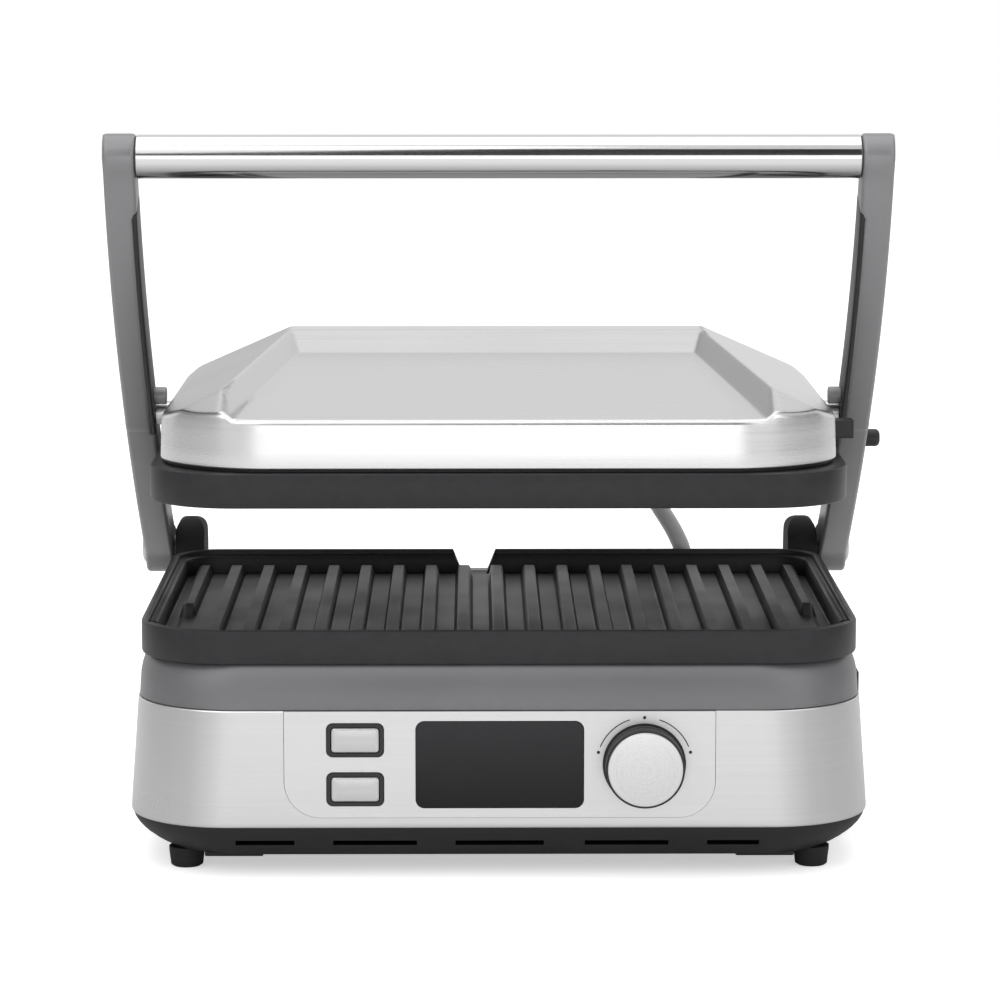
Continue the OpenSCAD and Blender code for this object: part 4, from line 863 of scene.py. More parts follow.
class GRILL_OT_plates(bpy.types.Operator):
    """Ribbed lower and upper grill plates"""

    bl_idname = "grill.plates"
    bl_label = "Grill plates"

    def execute(self, context):
        sizes = context.scene.grill_sizes
        self.lower(sizes)
        self.upper(sizes)
        return {"FINISHED"}

    def lower(self, sizes):
        """Lower plate, with the outlet and the clips' sockets cut into its rim."""
        low, high = PLATE_LOW, PLATE_HIGH
        hinge_room, rib_front, rib_rear = 17 * MM, 12 * MM, 8 * MM
        rear = HINGE[1] - hinge_room
        rim = rim_rings(sizes, high[0], low[1], rear, low[2], high[2] - low[2], sizes.plate_floor)
        start, end = low[1] + sizes.rim + rib_front, rear - sizes.rim - rib_rear
        floor = low[2] + sizes.plate_floor
        thick, short = 4.2 * MM, 82 * MM
        field = plate_field(sizes, high[0], low[1], rear, floor, thick, start, end, short)
        piece = add_piece(
            "lower_grill_plate", [hoop(rim)], "base", "plate_coating", ("lower_plate",)
        )
        middle, half = -11 * MM, sizes.drain_width / 2
        narrower, wider, inwards, outwards = 3 * MM, 2 * MM, 12 * MM, 10 * MM
        foot, mouth, under, over = half - narrower, half + wider, floor - MM, high[2] + MM
        section = np.array([[-foot, under], [foot, under], [mouth, over], [-mouth, over]])
        notch = build("notch", [prism(section + (middle, 0), rear - inwards, rear + outwards)])
        cut(piece, [notch] + self.clip_pockets(high, floor))
        add_piece("lower_ribs", [stack(field)], "base", "plate_coating")
        self.spout(middle, half, rear, floor, high[1])

    def clip_pockets(self, high, floor):
        """Sockets for the clips that hold the plate down."""
        clip_low, clip_high = corners("plate_clips")
        middle = (clip_low[1] + clip_high[1]) / 2
        half_x, half_y, clip_in, lifted, above = 5.5 * MM, 9 * MM, 4 * MM, 2 * MM, 10 * MM
        pockets = []
        for side in (-1, 1):
            x = side * (clip_high[0] - clip_in)
            low = (x - half_x, middle - half_y, floor + lifted)
            pockets.append(box_mesh(low, (x + half_x, middle + half_y, high[2] + above)))
        return pockets

    def spout(self, middle, half, rear, floor, end):
        """Small channel that carries grease off the rear wall."""
        wall, slope, under, bed, over, overlap = 3 * MM, 2 * MM, 3.5 * MM, MM, 4 * MM, 2 * MM
        right = [
            [half + wall, floor - under], [half + wall, floor + over],
            [half, floor + over], [half - slope, floor - bed],
        ]
        left = [[-x, z] for x, z in right[::-1]]
        section = np.array(right + left) + (middle, 0)
        grid = prism(section, rear - overlap, end)
        add_piece("grease_spout", [grid], "base", "plate_coating", bevel=0.4 * MM)

    def upper(self, sizes):
        """Upper plate: the same rim and ribs, turned to face down."""
        low, high = UPPER_LOW, UPPER_HIGH
        floor = sizes.plate_floor
        rim = rim_rings(sizes, high[0], low[1], high[1], 0.0, high[2] - low[2], floor)
        rib_room, short = 12 * MM, 40 * MM
        start, end = low[1] + sizes.rim + rib_room, high[1] - sizes.rim - rib_room
        field = plate_field(sizes, high[0], low[1], high[1], floor, floor, start, end, short)
        for grid in (rim, field):
            grid[..., 2] = high[2] - grid[..., 2]
        add_piece("upper_grill_plate", [hoop(rim)], "lid", "plate_coating", ("upper_plate",))
        add_piece("upper_ribs", [stack(field)], "lid", "plate_coating")


# --------------------------------------------------------------------- lid


def plane_through(points):
    """(p, q, r) of the plane z = p x + q y + r through three points."""
    points = np.asarray(points, float)
    return np.linalg.solve(np.column_stack([points[:, :2], np.ones(3)]), points[:, 2])


class LidForm:
    """Height of the pressed top over the skirt, as a function of |x| and y. The outer form is
    the least of its facets: flank, hip, rear, rear corner, front corner and ridge. The field
    is cut into it: the least of the outer form and the greatest of floor, side wall and rear
    wall."""

    ridge_half, ridge_up = 101 * MM, 24.4 * MM
    ridge_front, ridge_rear = 37 * MM, 17 * MM
    flank_fall, flank_dip = 0.43, 0.0124
    hip_fall, corner_fall = 0.72, 0.673
    corner_reach, corner_up, front_fall = 160.2 * MM, 4.0 * MM, 0.35
    field_front_half, field_rear_half = 119 * MM, 96 * MM
    lip_in, lip_up = 3.5 * MM, 2.4 * MM
    field_in, field_up = 62 * MM, 15.4 * MM
    wall_run, wall_rise = 10 * MM, 8.6 * MM
    soft, spokes = 0.9 * MM, 12

    def __init__(self, half, front, rear):
        y0, y1 = rear - self.ridge_front, rear - self.ridge_rear
        up, slant = self.ridge_up, self.corner_fall / math.sqrt(2)
        front_slant = self.front_fall / math.sqrt(2)
        flank = up + self.flank_fall * self.ridge_half - self.flank_dip * y0
        self.outer = np.array(
            [
                (-self.flank_fall, self.flank_dip, flank),
                (-self.hip_fall, 0.0, self.hip_fall * half),
                (0.0, -up / self.ridge_rear, up * rear / self.ridge_rear),
                (-slant, -slant, up + slant * (self.ridge_half + y1)),
                (-front_slant, front_slant, self.corner_up + self.front_fall * self.corner_reach),
                (0.0, 0.0, up),
            ]
        )
        lip, field_y = front + self.lip_in, rear - self.field_in
        floor = [(0, lip, self.lip_up), (1, lip, self.lip_up), (0, field_y, self.field_up)]
        rear_wall = [(0, field_y, self.field_up), (1, field_y, self.field_up), (0, y0, up)]
        side_wall = [
            (self.field_front_half, lip, self.lip_up),
            (self.field_rear_half, field_y, self.field_up),
            (self.field_rear_half + self.wall_run, field_y, self.field_up + self.wall_rise),
        ]
        self.field = np.array([plane_through(w) for w in (floor, rear_wall, side_wall)])

    def exact(self, x, y):
        """Height with sharp creases."""
        flat = np.stack([np.abs(x).ravel(), y.ravel(), np.ones(x.size)])
        outer = (self.outer @ flat).min(0)
        return np.minimum(outer, (self.field @ flat).max(0)).reshape(x.shape)

    def height(self, x, y):
        """Height with creases rounded: the mean over a small disc about each point, whose
        middle counts twice."""
        total = 2 * self.exact(x, y)
        for radius in (self.soft / 2, self.soft):
            for angle in np.arange(self.spokes) * FULL_TURN / self.spokes:
                total += self.exact(x + radius * math.cos(angle), y + radius * math.sin(angle))
        return total / (2 + 2 * self.spokes)


SKIRT_PROFILE = ((0.5, 0.0), (0.1, 0.3), (0.0, 1.0), (0.2, 8.0), (0.45, 15.0))  # inset, height, mm
FRAME_PROFILE = (
    (2.2, 0.0), (2.0, 0.3), (2.0, 1.1), (2.4, 1.3), (6.4, 1.3), (6.4, 8.0), (8.0, 8.0), (8.0, 0.0),
)  # inset and height, mm
SHOULDER = 2.4 * MM
SHOULDER_TURNS = (0, 18, 36, 54, 72)  # degrees
TOP_RINGS = 130


class GRILL_OT_lid(bpy.types.Operator):
    """Pressed steel lid cover and the black frame line under it"""

    bl_idname = "grill.lid"
    bl_label = "Lid"

    def execute(self, context):
        sizes = context.scene.grill_sizes
        self.cover(sizes)
        self.shadow_frame(sizes)
        return {"FINISHED"}

    def ring_at(self, sizes, inset):
        """Outline of the lid, drawn in by an inset."""
        half, front, rear = COVER_HIGH[0] - inset, COVER_LOW[1] + inset, COVER_HIGH[1] - inset
        least, rear_less = 4 * MM, 14 * MM
        front_radius = max(sizes.skirt_radius - inset, least)
        rear_radius = max(sizes.skirt_radius - rear_less - inset, least)
        return outline(half, front, rear, front_radius, rear_radius, 30, 70)

    def cover(self, sizes):
        """Cover: skirt, a rounded shoulder and the pressed top, then the same inside."""
        bottom, crest = COVER_LOW[2], COVER_LOW[2] + sizes.skirt
        seam, shoulder_in = 0.6 * MM, 0.55 * MM
        form = LidForm(COVER_HIGH[0] - seam, COVER_LOW[1] + seam, COVER_HIGH[1] - seam)
        middle = np.array([0.0, (COVER_LOW[1] + COVER_HIGH[1]) / 2])
        rings = [
            level(self.ring_at(sizes, inset * MM), bottom + up * MM) for inset, up in SKIRT_PROFILE
        ]
        spots = []
        for angle in np.radians(SHOULDER_TURNS):
            inset = shoulder_in + SHOULDER * (1 - math.cos(angle))
            spots.append((self.ring_at(sizes, inset), SHOULDER * (1 - math.sin(angle))))
        top_in, power = 3.0 * MM, 0.9
        start = self.ring_at(sizes, top_in)
        shares = 1 - np.linspace(0, 1, TOP_RINGS) ** power
        spots += [(middle + (start - middle) * share, 0.0) for share in shares[:-1]]
        for flat, fall in spots:
            lift = np.maximum(form.height(flat[:, 0], flat[:, 1]), 0.0)
            rings.append(np.column_stack([flat, crest + lift - fall]))
        outer = np.stack(rings)
        edge_rings, sparser, reach = 12, 3, 130 * MM
        inner = np.concatenate([outer[:edge_rings], outer[edge_rings::sparser]])[::-1]
        inner[..., 2] = np.maximum(inner[..., 2] - sizes.sheet, bottom)
        inner[..., :2] = middle + (inner[..., :2] - middle) * (1 - sizes.sheet / reach)
        grid = stack(np.concatenate([inner, outer]))
        piece = add_piece("pressed_cover", [grid], "lid", "cover_steel", ("lid_cover",), crisp=50)
        radius, inwards, outwards = 4.3 * MM, 12 * MM, 10 * MM
        holes = []
        for side in (-1, 1):
            ends = (side * (COVER_HIGH[0] - inwards), side * (COVER_HIGH[0] + outwards))
            start, end = sorted(ends)
            profile = [(0, start), (radius, start), (radius, end), (0, end)]
            holes.append(build("hole", [turned(profile, (0, PIVOT[1], PIVOT[2]), "X", 32)]))
        cut(piece, holes, 50)

    def shadow_frame(self, sizes):
        """Black frame: a low ring between cover and plate, with an inner wall."""
        bottom = corners("lid_frame")[0][2]
        rings = [
            level(self.ring_at(sizes, inset * MM), bottom + up * MM) for inset, up in FRAME_PROFILE
        ]
        piece = add_piece("shadow_frame", [hoop(rings)], "lid", "black_plastic", ("lid_frame",))
        low, high = corners("upper_release_button")
        room, inwards = 0.4 * MM, 8 * MM
        cut(piece, [room_for("upper_release_button", room, x=(low[0] - inwards, high[0]))])


# --------------------------------------------------------- arms and handle


TOP_SLOPE = math.radians(70)
FOOT_SLOPE = math.radians(33)
CORNER_SIGNS = ((1, 1), (-1, 1), (-1, -1), (1, -1))
ARM_STEPS = 600


def arm_line():
    """Middle line of an arm in Y and Z: (1-t)^2 A + 2t(1-t) B + t^2 C, where A is on the
    handle's axis, C on the hinge and B where the two end slopes cross."""
    start = ((HANDLE_LOW + HANDLE_HIGH) / 2)[1:]
    end = HINGE[1:]
    down = np.array([math.cos(TOP_SLOPE), -math.sin(TOP_SLOPE)])
    up = np.array([-math.cos(FOOT_SLOPE), math.sin(FOOT_SLOPE)])
    reach = np.linalg.solve(np.column_stack([down, -up]), end - start)[0]
    bend = start + reach * down
    t = np.linspace(0, 1, ARM_STEPS)[:, None]
    line = (1 - t) ** 2 * start + 2 * t * (1 - t) * bend + t**2 * end
    way = 2 * (1 - t) * (bend - start) + 2 * t * (end - bend)
    way /= np.linalg.norm(way, axis=1, keepdims=True)
    length = np.concatenate([[0], np.cumsum(np.linalg.norm(np.diff(line, axis=0), axis=1))])
    return length, line, way


def arm_sweep(steps, half_width, low_x, high_x, radius, arc=5):
    """Rounded rectangle carried along the arm: steps are distances from the handle's axis,
    and past either end the line goes straight on."""
    length, line, way = arm_line()
    inside = np.clip(steps, 0, length[-1])
    centre = np.stack([np.interp(inside, length, line[:, k]) for k in (0, 1)], 1)
    along = np.stack([np.interp(inside, length, way[:, k]) for k in (0, 1)], 1)
    along /= np.linalg.norm(along, axis=1, keepdims=True)
    centre = centre + (steps - inside)[:, None] * along
    side = np.stack([-along[:, 1], along[:, 0]], 1)
    corner = np.minimum(radius, 0.9 * half_width)[:, None]
    turn = np.linspace(0, math.pi / 2, arc + 1)
    rings = []
    for quarter, (sign_x, sign_w) in enumerate(CORNER_SIGNS):
        angle = turn + quarter * math.pi / 2
        middle_x = (low_x + high_x) / 2 + sign_x * ((high_x - low_x) / 2 - corner)
        x = middle_x + corner * np.cos(angle)
        w = sign_w * (half_width[:, None] - corner) + corner * np.sin(angle)
        point = centre[:, None] + w[..., None] * side[:, None]
        rings.append(np.concatenate([x[..., None], point], -1))
    return np.concatenate(rings, 1)


def round_ends(steps, ends):
    """Half width that follows a round boss of each (place, radius): sqrt(r^2 - d^2)."""
    widths = [np.sqrt(np.maximum(r * r - (steps - place) ** 2, 0)) for place, r in ends]
    return np.max(widths, 0)


class GRILL_OT_arms(bpy.types.Operator):
    """Curved arms with their dark inner liners, the handle tube and the lock knob"""

    bl_idname = "grill.arms"
    bl_label = "Arms and handle"

    def execute(self, context):
        sizes = context.scene.grill_sizes
        for side in (-1, 1):
            self.arm(sizes, side)
        self.handle()
        self.lock()
        return {"FINISHED"}

    def arm(self, sizes, side):
        """One arm: a slim body beside the liner, full thickness below the collar."""
        length, line = arm_line()[:2]
        total = length[-1]
        grip, hub, boss = 10.3 * MM, 12 * MM, 9.6 * MM
        pivot_step = length[np.argmin(np.linalg.norm(line - PIVOT[1:], axis=1))]
        liner_share, thickness, inner_part = 0.56, 14.2 * MM, 5 * MM
        liner_start, liner_end = 24 * MM, liner_share * total
        quarter = np.linspace(0, math.pi / 2, 16)
        spans = (
            -grip * np.cos(quarter),
            np.linspace(0, total, 90),
            total + hub * np.sin(quarter),
            pivot_step + np.linspace(-boss, boss, 17),
        )
        nearly = 0.9995
        steps = np.clip(np.unique(np.concatenate(spans)), -grip * nearly, total + hub * nearly)
        bosses = round_ends(steps, ((0, grip), (total, hub), (pivot_step, boss)))
        inside = (steps >= 0) & (steps <= total)
        half = np.where(inside, np.maximum(bosses, sizes.arm_width / 2), bosses)
        inner_x, outer_x = ARM_HIGH[0] - thickness, ARM_HIGH[0]
        ring = arm_sweep(steps, half, inner_x, outer_x, sizes.arm_edge)
        slim = (steps > liner_start) & (steps < liner_end)
        x = ring[..., 0]
        beside = x < inner_x + inner_part
        ring[..., 0] = (x + np.where(slim[:, None] & beside, sizes.liner, 0.0)) * side
        node_name = named("arm", side)
        peg_low, peg_high = corners(node_name)
        peg_off, peg_root = (-8 * MM, 9 * MM), 2 * MM
        peg_y, peg_z = PIVOT[1:] + peg_off
        start = side * min(abs(peg_low[0]), abs(peg_high[0]))
        end = side * (inner_x + peg_root)
        tip, thick, round_off = 3.7 * MM, 4.1 * MM, 0.4 * MM
        profile = [(0, start), (tip, start), (thick, start + side * round_off), (thick, end), (0, end)]
        grids = [stack(ring), turned(profile, (0, peg_y, peg_z), "X", 40)]
        add_piece(named("arm_body", side), grids, "arms", "arm_grey", (node_name,))
        seam, edge_in, liner_edge, overlap = 0.2 * MM, 0.25 * MM, 0.7 * MM, 0.4 * MM
        strip = np.linspace(liner_start + seam, liner_end - seam, 50)
        width = np.full(len(strip), sizes.arm_width / 2 - edge_in)
        liner = arm_sweep(strip, width, inner_x, inner_x + sizes.liner + overlap, liner_edge, 3)
        liner[..., 0] *= side
        name, node_name = named("liner", side), named("arm_liner", side)
        add_piece(name, [stack(liner)], "arms", "black_plastic", (node_name,))

    def handle(self):
        """Handle tube, slightly rounded at its mouths."""
        middle = (HANDLE_LOW + HANDLE_HIGH) / 2
        half, radius = HANDLE_HIGH[0], (HANDLE_HIGH[2] - HANDLE_LOW[2]) / 2
        wall, edge = 1.4 * MM, 0.5 * MM
        mouth = [(radius - wall, half), (radius - edge, half), (radius, half - edge)]
        profile = [(r, -x) for r, x in mouth] + mouth[::-1]
        grid = turned(profile, (0, middle[1], middle[2]), "X", 96)[0]
        add_piece("handle_bar", [hoop(grid)], "arms", "handle_steel", ("handle_tube",))

    def lock(self):
        """Lock knob: a short turned stud with a rounded end."""
        low, high = corners("lid_lock_knob")
        middle = (low + high) / 2
        radius, stem, edge, cap = (high[2] - low[2]) / 2, 2 * MM, 0.3 * MM, 2.2 * MM
        foot = ARM_HIGH[0] + GAP
        profile = [(0, low[0]), (stem, low[0]), (stem, foot), (radius - edge, foot)]
        profile.append((radius, foot + edge))
        for angle in np.linspace(0, math.pi / 2, 9):
            reach = radius - cap * (1 - math.cos(angle))
            profile.append((reach, high[0] - cap * (1 - math.sin(angle))))
        profile.append((0, high[0]))
        grids = [turned(profile, (0, middle[1], middle[2]), "X", 48)]
        add_piece("lock_stud", grids, "lock_knob", "black_plastic", ("lid_lock_knob",))


# ---------------------------------------------------------- hinge and lead


TOWER_EDGE = 7.25 * MM
TOWER_ROUND = 2.6  # power of the curve over a tower's edge, where 2 is a circle
PIN_HEAD = (
    (7, 0), (6.9, 0.6), (6.2, 1.2), (5.0, 1.65), (3.0, 1.8), (2.2, 1.8), (2.0, 1.0), (0, 1.0),
)  # radius, and distance from the head's face, mm


class GRILL_OT_hinge(bpy.types.Operator):
    """Hinge towers behind the plate, and the pins' heads"""

    bl_idname = "grill.hinge"
    bl_label = "Hinges"

    def execute(self, context):
        for side in (-1, 1):
            self.tower(side)
        self.pins()
        return {"FINISHED"}

    def tower(self, side):
        """Tower: a block whose top is round from the side, and rounded off to both sides."""
        node_name = named("hinge_tower", side)
        low, high = corners(node_name)
        inner, outer = sorted((abs(low[0]), abs(high[0])))
        radius = (high[1] - low[1]) / 2
        turn = np.linspace(-math.pi / 2, math.pi / 2, 49)
        y = HINGE[1] + radius * np.sin(turn)
        crown = HINGE[2] + radius * np.cos(turn)
        rows = []
        for share in (1 - np.cos(np.linspace(0, math.pi, 23))) / 2:
            x = side * (inner + (outer - inner) * share)
            off = abs(2 * share - 1)
            fall = TOWER_EDGE * (1 - math.sqrt(max(1 - off**TOWER_ROUND, 0.0)))
            top = np.column_stack([np.full(len(y), x), y, np.minimum(crown, high[2] - fall)])
            feet = [[[x, HINGE[1] + way * radius, low[2]]] for way in (-1, 1)]
            rows.append(np.concatenate([feet[0], top, feet[1]]))
        name, grids = named("tower", side), [stack(rows)]
        add_piece(name, grids, "base", "hinge_plastic", (node_name,), bevel=0.6 * MM, crisp=40)

    def pins(self):
        """Hinge pins with domed heads."""
        sunk, head, stem = 0.5 * MM, 1.8 * MM, 4 * MM
        end = corners("hinge_pins")[1][0]
        start, face = corners("hinge_tower_right")[0][0] + sunk, end - head
        profile = [(0, start), (stem, start), (stem, face)]
        profile += [(radius * MM, face + out * MM) for radius, out in PIN_HEAD]
        grids = []
        for side in (-1, 1):
            way = [(radius, side * along) for radius, along in profile]
            grids.append(turned(way, (0, HINGE[1], HINGE[2]), "X", 56))
        add_piece("hinge_studs", grids, "base", "part_steel", ("hinge_pins",))


LEAD_ROUTE = np.array(
    [
        [95, 130, 101], [94.8, 130, 104], [93, 130.5, 110], [89, 132, 118], [83, 134.5, 127.5],
        [76.5, 138.5, 138], [71, 142.5, 148.5], [66.5, 145.8, 160], [64.5, 146.7, 171],
        [64, 144, 180], [64, 138, 187.2], [64, 133, 187.2], [64, 128.9, 187.2],
    ]
)
SPAN_STEPS = 8
LEAD_SPLIT = 5 * SPAN_STEPS  # the point where the two lengths meet
LEAD_HOLD = 20  # a point along the upper length
TUBE_SIDES = 24


def smooth_route(points):
    """Catmull-Rom curve through the route's points."""
    wide = np.concatenate([[2 * points[0] - points[1]], points, [2 * points[-1] - points[-2]]])
    a, b, c, d = wide[:-3], wide[1:-2], wide[2:-1], wide[3:]
    t = np.linspace(0, 1, SPAN_STEPS, endpoint=False)[:, None, None]
    curve = 0.5 * (
        2 * b + (c - a) * t + (2 * a - 5 * b + 4 * c - d) * t**2 + (3 * b - a - 3 * c + d) * t**3
    )
    curve = np.swapaxes(curve, 0, 1).reshape(-1, 3)
    return np.concatenate([curve, points[-1:]])


def round_tube(path, radius):
    """Circle carried along a path, square to it. Each ring uses the X axis made square to
    the path as its first direction."""
    way = np.gradient(path, axis=0)
    way /= np.linalg.norm(way, axis=1, keepdims=True)
    first = np.cross(way, (1.0, 0, 0))
    first /= np.linalg.norm(first, axis=1, keepdims=True)
    second = np.cross(way, first)
    turn = (np.arange(TUBE_SIDES) * FULL_TURN / TUBE_SIDES)[None, :, None]
    ring = np.cos(turn) * first[:, None] + np.sin(turn) * second[:, None]
    return path[:, None] + radius * ring


class GRILL_OT_lead(bpy.types.Operator):
    """Sleeved lead between base and lid, in two lengths"""

    bl_idname = "grill.lead"
    bl_label = "Lid lead"

    def execute(self, context):
        sizes = context.scene.grill_sizes
        route = LEAD_ROUTE * MM
        route[-1, 1] = corners("cable_gland_lid")[1][1]
        curve = smooth_route(route)
        lower, upper = curve[: LEAD_SPLIT + 1], curve[LEAD_SPLIT:]
        parts = (
            ("lead_lower", lower, "base", "arms", "lid_cable_lower", 0),
            ("lead_upper", upper, "arms", "lid", "lid_cable_upper", LEAD_HOLD),
        )
        for name, path, first, second, node_name, hold in parts:
            grids = [stack(round_tube(path, sizes.lead / 2))]
            piece = add_piece(name, grids, None, "lead_grey", (node_name,))
            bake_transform(piece)
        return {"FINISHED"}


# ---------------------------------------------------------------- controls


# How far the dial's side lies in from its rim and ahead of its rear, mm.
DIAL_SIDE = ((0.5, 0.0), (0.0, 0.5), (0.0, 2.8), (0.45, 3.1), (0.45, 3.5), (0.0, 3.8))
SCALE_ARCS = ((108, 158), (22, 72))  # degrees
SCALE_DOTS = (90, 165, 15)  # degrees
CAP_PROFILE = ((4.0, 0.0), (0.9, 0.0), (0.35, 0.12), (0.1, 0.4), (0.0, 0.9))  # inset, depth, mm


class GRILL_OT_controls(bpy.types.Operator):
    """Turned dial with its printed scale, and the two button caps"""

    bl_idname = "grill.controls"
    bl_label = "Controls"

    def execute(self, context):
        self.dial()
        self.scale()
        self.caps()
        return {"FINISHED"}

    def dial(self):
        """Dial: a dark turned body with a step round its rim, and a bright face set into it."""
        low, high = DIAL_LOW, DIAL_HIGH
        middle = (low + high) / 2
        place = (middle[0], 0, middle[2])
        radius, front, rear = (high[0] - low[0]) / 2, low[1], high[1]
        inner, edge, set_in, pocket = radius - 0.8 * MM, 0.5 * MM, 0.1 * MM, 1.2 * MM
        turn = np.linspace(0, math.pi / 2, 7)
        curve = [(edge * (1 - math.cos(a)), edge * (1 - math.sin(a))) for a in turn]
        bore = 3.0 * MM
        body = [(bore, rear)]
        body += [(radius - less * MM, rear - along * MM) for less, along in DIAL_SIDE]
        body += [(radius - less, front + edge + along) for less, along in curve]
        body += [(inner, front + edge), (inner, front + pocket), (0, front + pocket)]
        rim = inner - set_in
        face = [(0, front + pocket - set_in), (rim, front + pocket - set_in)]
        face += [(rim - less, front + along) for less, along in curve]
        face.append((0, front))
        grids = [turned(body, place, "Y", 128)]
        add_piece(
            "dial_body", grids, "dial", "dial_silver", ("dial_knob",), "black_plastic", crisp=28
        )
        add_piece("dial_face", [turned(face, place, "Y", 128)], "dial", "dial_silver", crisp=40)
        # Painted shadow: a thin black film on the control plate, from just under the dial's rim to 1 mm out, where
        # the dial's shadow and gap fall.
        near, far, film = radius - 0.2 * MM, radius + 1.0 * MM, 0.05 * MM
        rear, front = CONTROL_LOW[1] + film, CONTROL_LOW[1] - film
        ring = [(near, front), (far, front), (far, rear), (near, rear)]
        grids = [hoop(turned(ring, place, "Y", 96)[0])]
        add_piece("dial_recess", grids, "base", "black_plastic")

    def scale(self):
        """Generic scale: two thin arcs and three dots round the dial."""
        middle = (DIAL_LOW + DIAL_HIGH) / 2
        radius, half_line, film, dot = 20.9 * MM, 0.25 * MM, 0.06 * MM, 0.75 * MM
        front, rear = CONTROL_LOW[1] - film, CONTROL_LOW[1] + film
        corners_of_line = ((-1, front), (1, front), (1, rear), (-1, rear))
        grids = []
        for start, end in SCALE_ARCS:
            angle = np.radians(np.linspace(start, end, 28))
            rows = []
            for way, y in corners_of_line:
                reach = radius + way * half_line
                x, z = middle[0] + reach * np.cos(angle), middle[2] + reach * np.sin(angle)
                rows.append(np.column_stack([x, np.full(len(angle), y), z]))
            grids.append(stack(np.swapaxes(np.stack(rows), 0, 1)))
        for angle in np.radians(SCALE_DOTS):
            spot = (middle[0] + radius * math.cos(angle), 0, middle[2] + radius * math.sin(angle))
            profile = [(0, front), (dot, front), (dot, rear), (0, rear)]
            grids.append(turned(profile, spot, "Y", 20))
        add_piece("dial_scale", grids, "base", "black_plastic")

    def caps(self):
        """Button caps: a rounded pad with a soft edge."""
        skirt_depth, flange, flange_depth = 6.3 * MM, -0.9, 0.05 * MM
        for name in ("upper_button", "lower_button"):
            low, high = corners(name)
            middle = (low + high) / 2
            rear = PANEL_LOW[1] + skirt_depth
            profile = [(inset, low[1] + depth * MM) for inset, depth in CAP_PROFILE]
            profile += [(0.0, rear), (flange, rear + flange_depth), (flange, high[1])]
            grids = [stack([self.cap_ring(inset * MM, middle, y) for inset, y in profile])]
            add_piece(name + "_cap", grids, name, "button_silver", (name,), crisp=60)

    def cap_ring(self, inset, middle, depth):
        """One ring of a cap, square to Y."""
        width, height, radius = 21.1 * MM, 10.9 * MM, 1.4 * MM
        x_half, z_half = width / 2 - inset, height / 2 - inset
        flat = outline(x_half, -z_half, z_half, radius, radius, 6, 4)
        columns = [flat[:, 0] + middle[0], np.full(len(flat), depth), flat[:, 1] + middle[2]]
        return np.column_stack(columns)


# ------------------------------------------------------------------- stage


CAMERA_PLACE = (-0.012, -1.8134, 0.4029)
CAMERA_DOWN = math.radians(7.932)
CAMERA_TURN = math.radians(-0.414)
CAMERA_LENS = 140.04
CAMERA_SENSOR = 36
FLOOR_REACH = 6.0
LAMP_AIM = (0, 0, 0.15)
WHITE = (1, 1, 1, 1)
# Each cloth has its name, its lowest corner at one end, its highest at the other and its tone.
FLAGS = (
    ("front_flag", (-1.7, -2.3, 0.62), (1.7, -2.3, 2.3), 0.06),
    ("left_flag", (-2.0, -1.6, 0.05), (-2.0, 1.0, 1.6), 0.42),
    ("right_flag", (2.0, -1.6, 0.05), (2.0, 1.0, 1.6), 0.42),
)
# Each lamp has its name, its place, its width in metres and its power in watts.
LAMPS = (
    ("Key", (-0.9, -1.5, 1.6), 1.8, 16.0),
    ("Fill", (1.3, -1.3, 1.1), 1.5, 8.0),
    ("Top", (0.0, 0.1, 1.9), 1.9, 14.0),
    ("Front", (0.0, -2.4, 0.45), 1.4, 9.0),
)


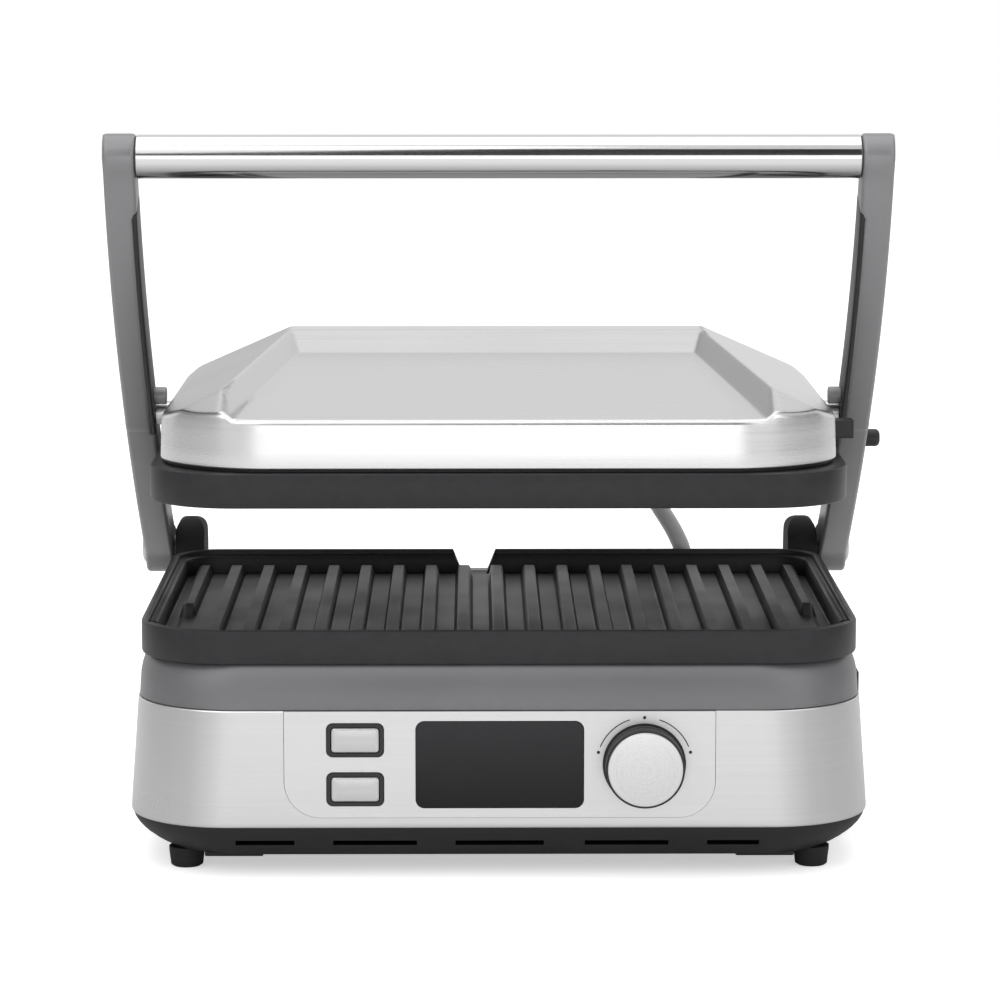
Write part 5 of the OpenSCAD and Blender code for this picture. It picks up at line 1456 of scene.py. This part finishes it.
class GRILL_OT_stage(bpy.types.Operator):
    """Pale floor, soft lamps, white surroundings and the camera"""

    bl_idname = "grill.stage"
    bl_label = "Stage"

    def execute(self, context):
        scene = context.scene
        scene.view_settings.view_transform = "Standard"
        self.floor(scene)
        self.surroundings(scene)
        for lamp in LAMPS:
            self.lamp(*lamp)
        for flag in FLAGS:
            self.flag(*flag)
        self.camera(scene)
        return {"FINISHED"}

    def sheet(self, name, spots, finish):
        """One flat face with its finish."""
        mesh = bpy.data.meshes.new(name)
        mesh.from_pydata(spots, [], [(0, 1, 2, 3)])
        mesh.materials.append(finish)
        return placed(name, mesh)

    def floor(self, scene):
        """Floor: a wide flat square whose colour is white for the camera."""
        finish, tree, place = new_finish("Studio floor")
        rays = node(tree, "ShaderNodeLightPath").outputs
        dust = noise(tree, place, 40.0)
        end_finish(
            tree,
            {
                "Base Color": colour_ramp(tree, dust, scene.grill_colours.floor, 0.99, 1.0),
                "Roughness": 0.7,
                "Emission Color": WHITE,
                "Emission Strength": spread(tree, rays["Is Camera Ray"], 0.0, 1.0, 0.0, 0.5),
            },
        )
        ways = ((-1, -1), (1, -1), (1, 1), (-1, 1))
        spots = [(x * FLOOR_REACH, y * FLOOR_REACH, 0) for x, y in ways]
        floor = self.sheet("floor", spots, finish)

    def flag(self, name, low, high, tone):
        """Dark cloth beside the camera, which only gloss and metal show."""
        finish, tree, place = new_finish("Cloth " + name)
        weave = colour_ramp(tree, noise(tree, place, 300.0), (tone,) * 3, 0.95, 1.05)
        end_finish(tree, {"Base Color": weave, "Specular IOR Level": 0.0})
        spots = [low, (*high[:2], low[2]), high, (*low[:2], high[2])]
        flag = self.sheet(name, spots, finish)
        flag.visible_camera = False
        flag.visible_diffuse = False
        flag.visible_shadow = False

    def surroundings(self, scene):
        """White to the camera and in reflections, softer as light."""
        world = bpy.data.worlds.new("Studio")
        scene.world = world
        world.use_nodes = True
        tree = world.node_tree
        tree.nodes.clear()
        rays = node(tree, "ShaderNodeLightPath").outputs
        seen = maths(tree, "MAXIMUM", rays["Is Camera Ray"], rays["Is Glossy Ray"])
        clear = maths(tree, "MAXIMUM", seen, rays["Is Transmission Ray"])
        strength = spread(tree, clear, 0.0, 1.0, 0.75, 1.0)
        sky = node(tree, "ShaderNodeBackground", {"Color": WHITE, "Strength": strength})
        node(tree, "ShaderNodeOutputWorld", {"Surface": sky.outputs[0]})

    def lamp(self, name, place, width, power):
        """Square soft lamp turned to the grill's middle."""
        light = bpy.data.lights.new(name, "AREA")
        light.size = width
        light.energy = power
        lamp = placed(name, light)
        lamp.location = place
        x, y, z = np.array(LAMP_AIM) - np.array(place)
        tilt, turn = math.atan2(math.hypot(x, y), -z), math.atan2(y, x) - math.pi / 2
        lamp.rotation_euler = (tilt, 0, turn)

    def camera(self, scene):
        """Camera of the photograph."""
        data = bpy.data.cameras.new("Camera")
        data.lens = CAMERA_LENS
        data.sensor_width = CAMERA_SENSOR
        camera = placed("Camera", data)
        camera.location = CAMERA_PLACE
        camera.rotation_euler = (math.pi / 2 - CAMERA_DOWN, 0, CAMERA_TURN)
        scene.camera = camera


# ------------------------------------------------------------------- panel


OPERATORS = (
    GRILL_OT_finishes,
    GRILL_OT_base,
    GRILL_OT_plates,
    GRILL_OT_lid,
    GRILL_OT_arms,
    GRILL_OT_hinge,
    GRILL_OT_lead,
    GRILL_OT_controls,
    GRILL_OT_stage,
)


class GRILL_PT_pieces(bpy.types.Panel):
    """Lists the grill's pieces in the sidebar"""

    bl_idname = "GRILL_PT_pieces"
    bl_label = "Contact grill"
    bl_space_type = "VIEW_3D"
    bl_region_type = "UI"
    bl_category = "Grill"

    def draw(self, context):
        for maker in OPERATORS:
            self.layout.operator(maker.bl_idname)


CLASSES = (GrillSizes, GrillColours) + OPERATORS + (GRILL_PT_pieces,)


def register():
    """Registers the classes and the scene's settings."""
    for kind in CLASSES:
        bpy.utils.register_class(kind)
    bpy.types.Scene.grill_sizes = bpy.props.PointerProperty(type=GrillSizes)
    bpy.types.Scene.grill_colours = bpy.props.PointerProperty(type=GrillColours)


def unregister():
    """Removes the settings and the classes."""
    del bpy.types.Scene.grill_colours
    del bpy.types.Scene.grill_sizes
    for kind in reversed(CLASSES):
        bpy.utils.unregister_class(kind)


def main():
    """Makes every piece in order."""
    register()
    bpy.ops.grill.finishes()
    bpy.ops.grill.base()
    bpy.ops.grill.plates()
    bpy.ops.grill.lid()
    bpy.ops.grill.arms()
    bpy.ops.grill.hinge()
    bpy.ops.grill.lead()
    bpy.ops.grill.controls()
    bpy.ops.grill.stage()


if __name__ == "__main__":
    main()
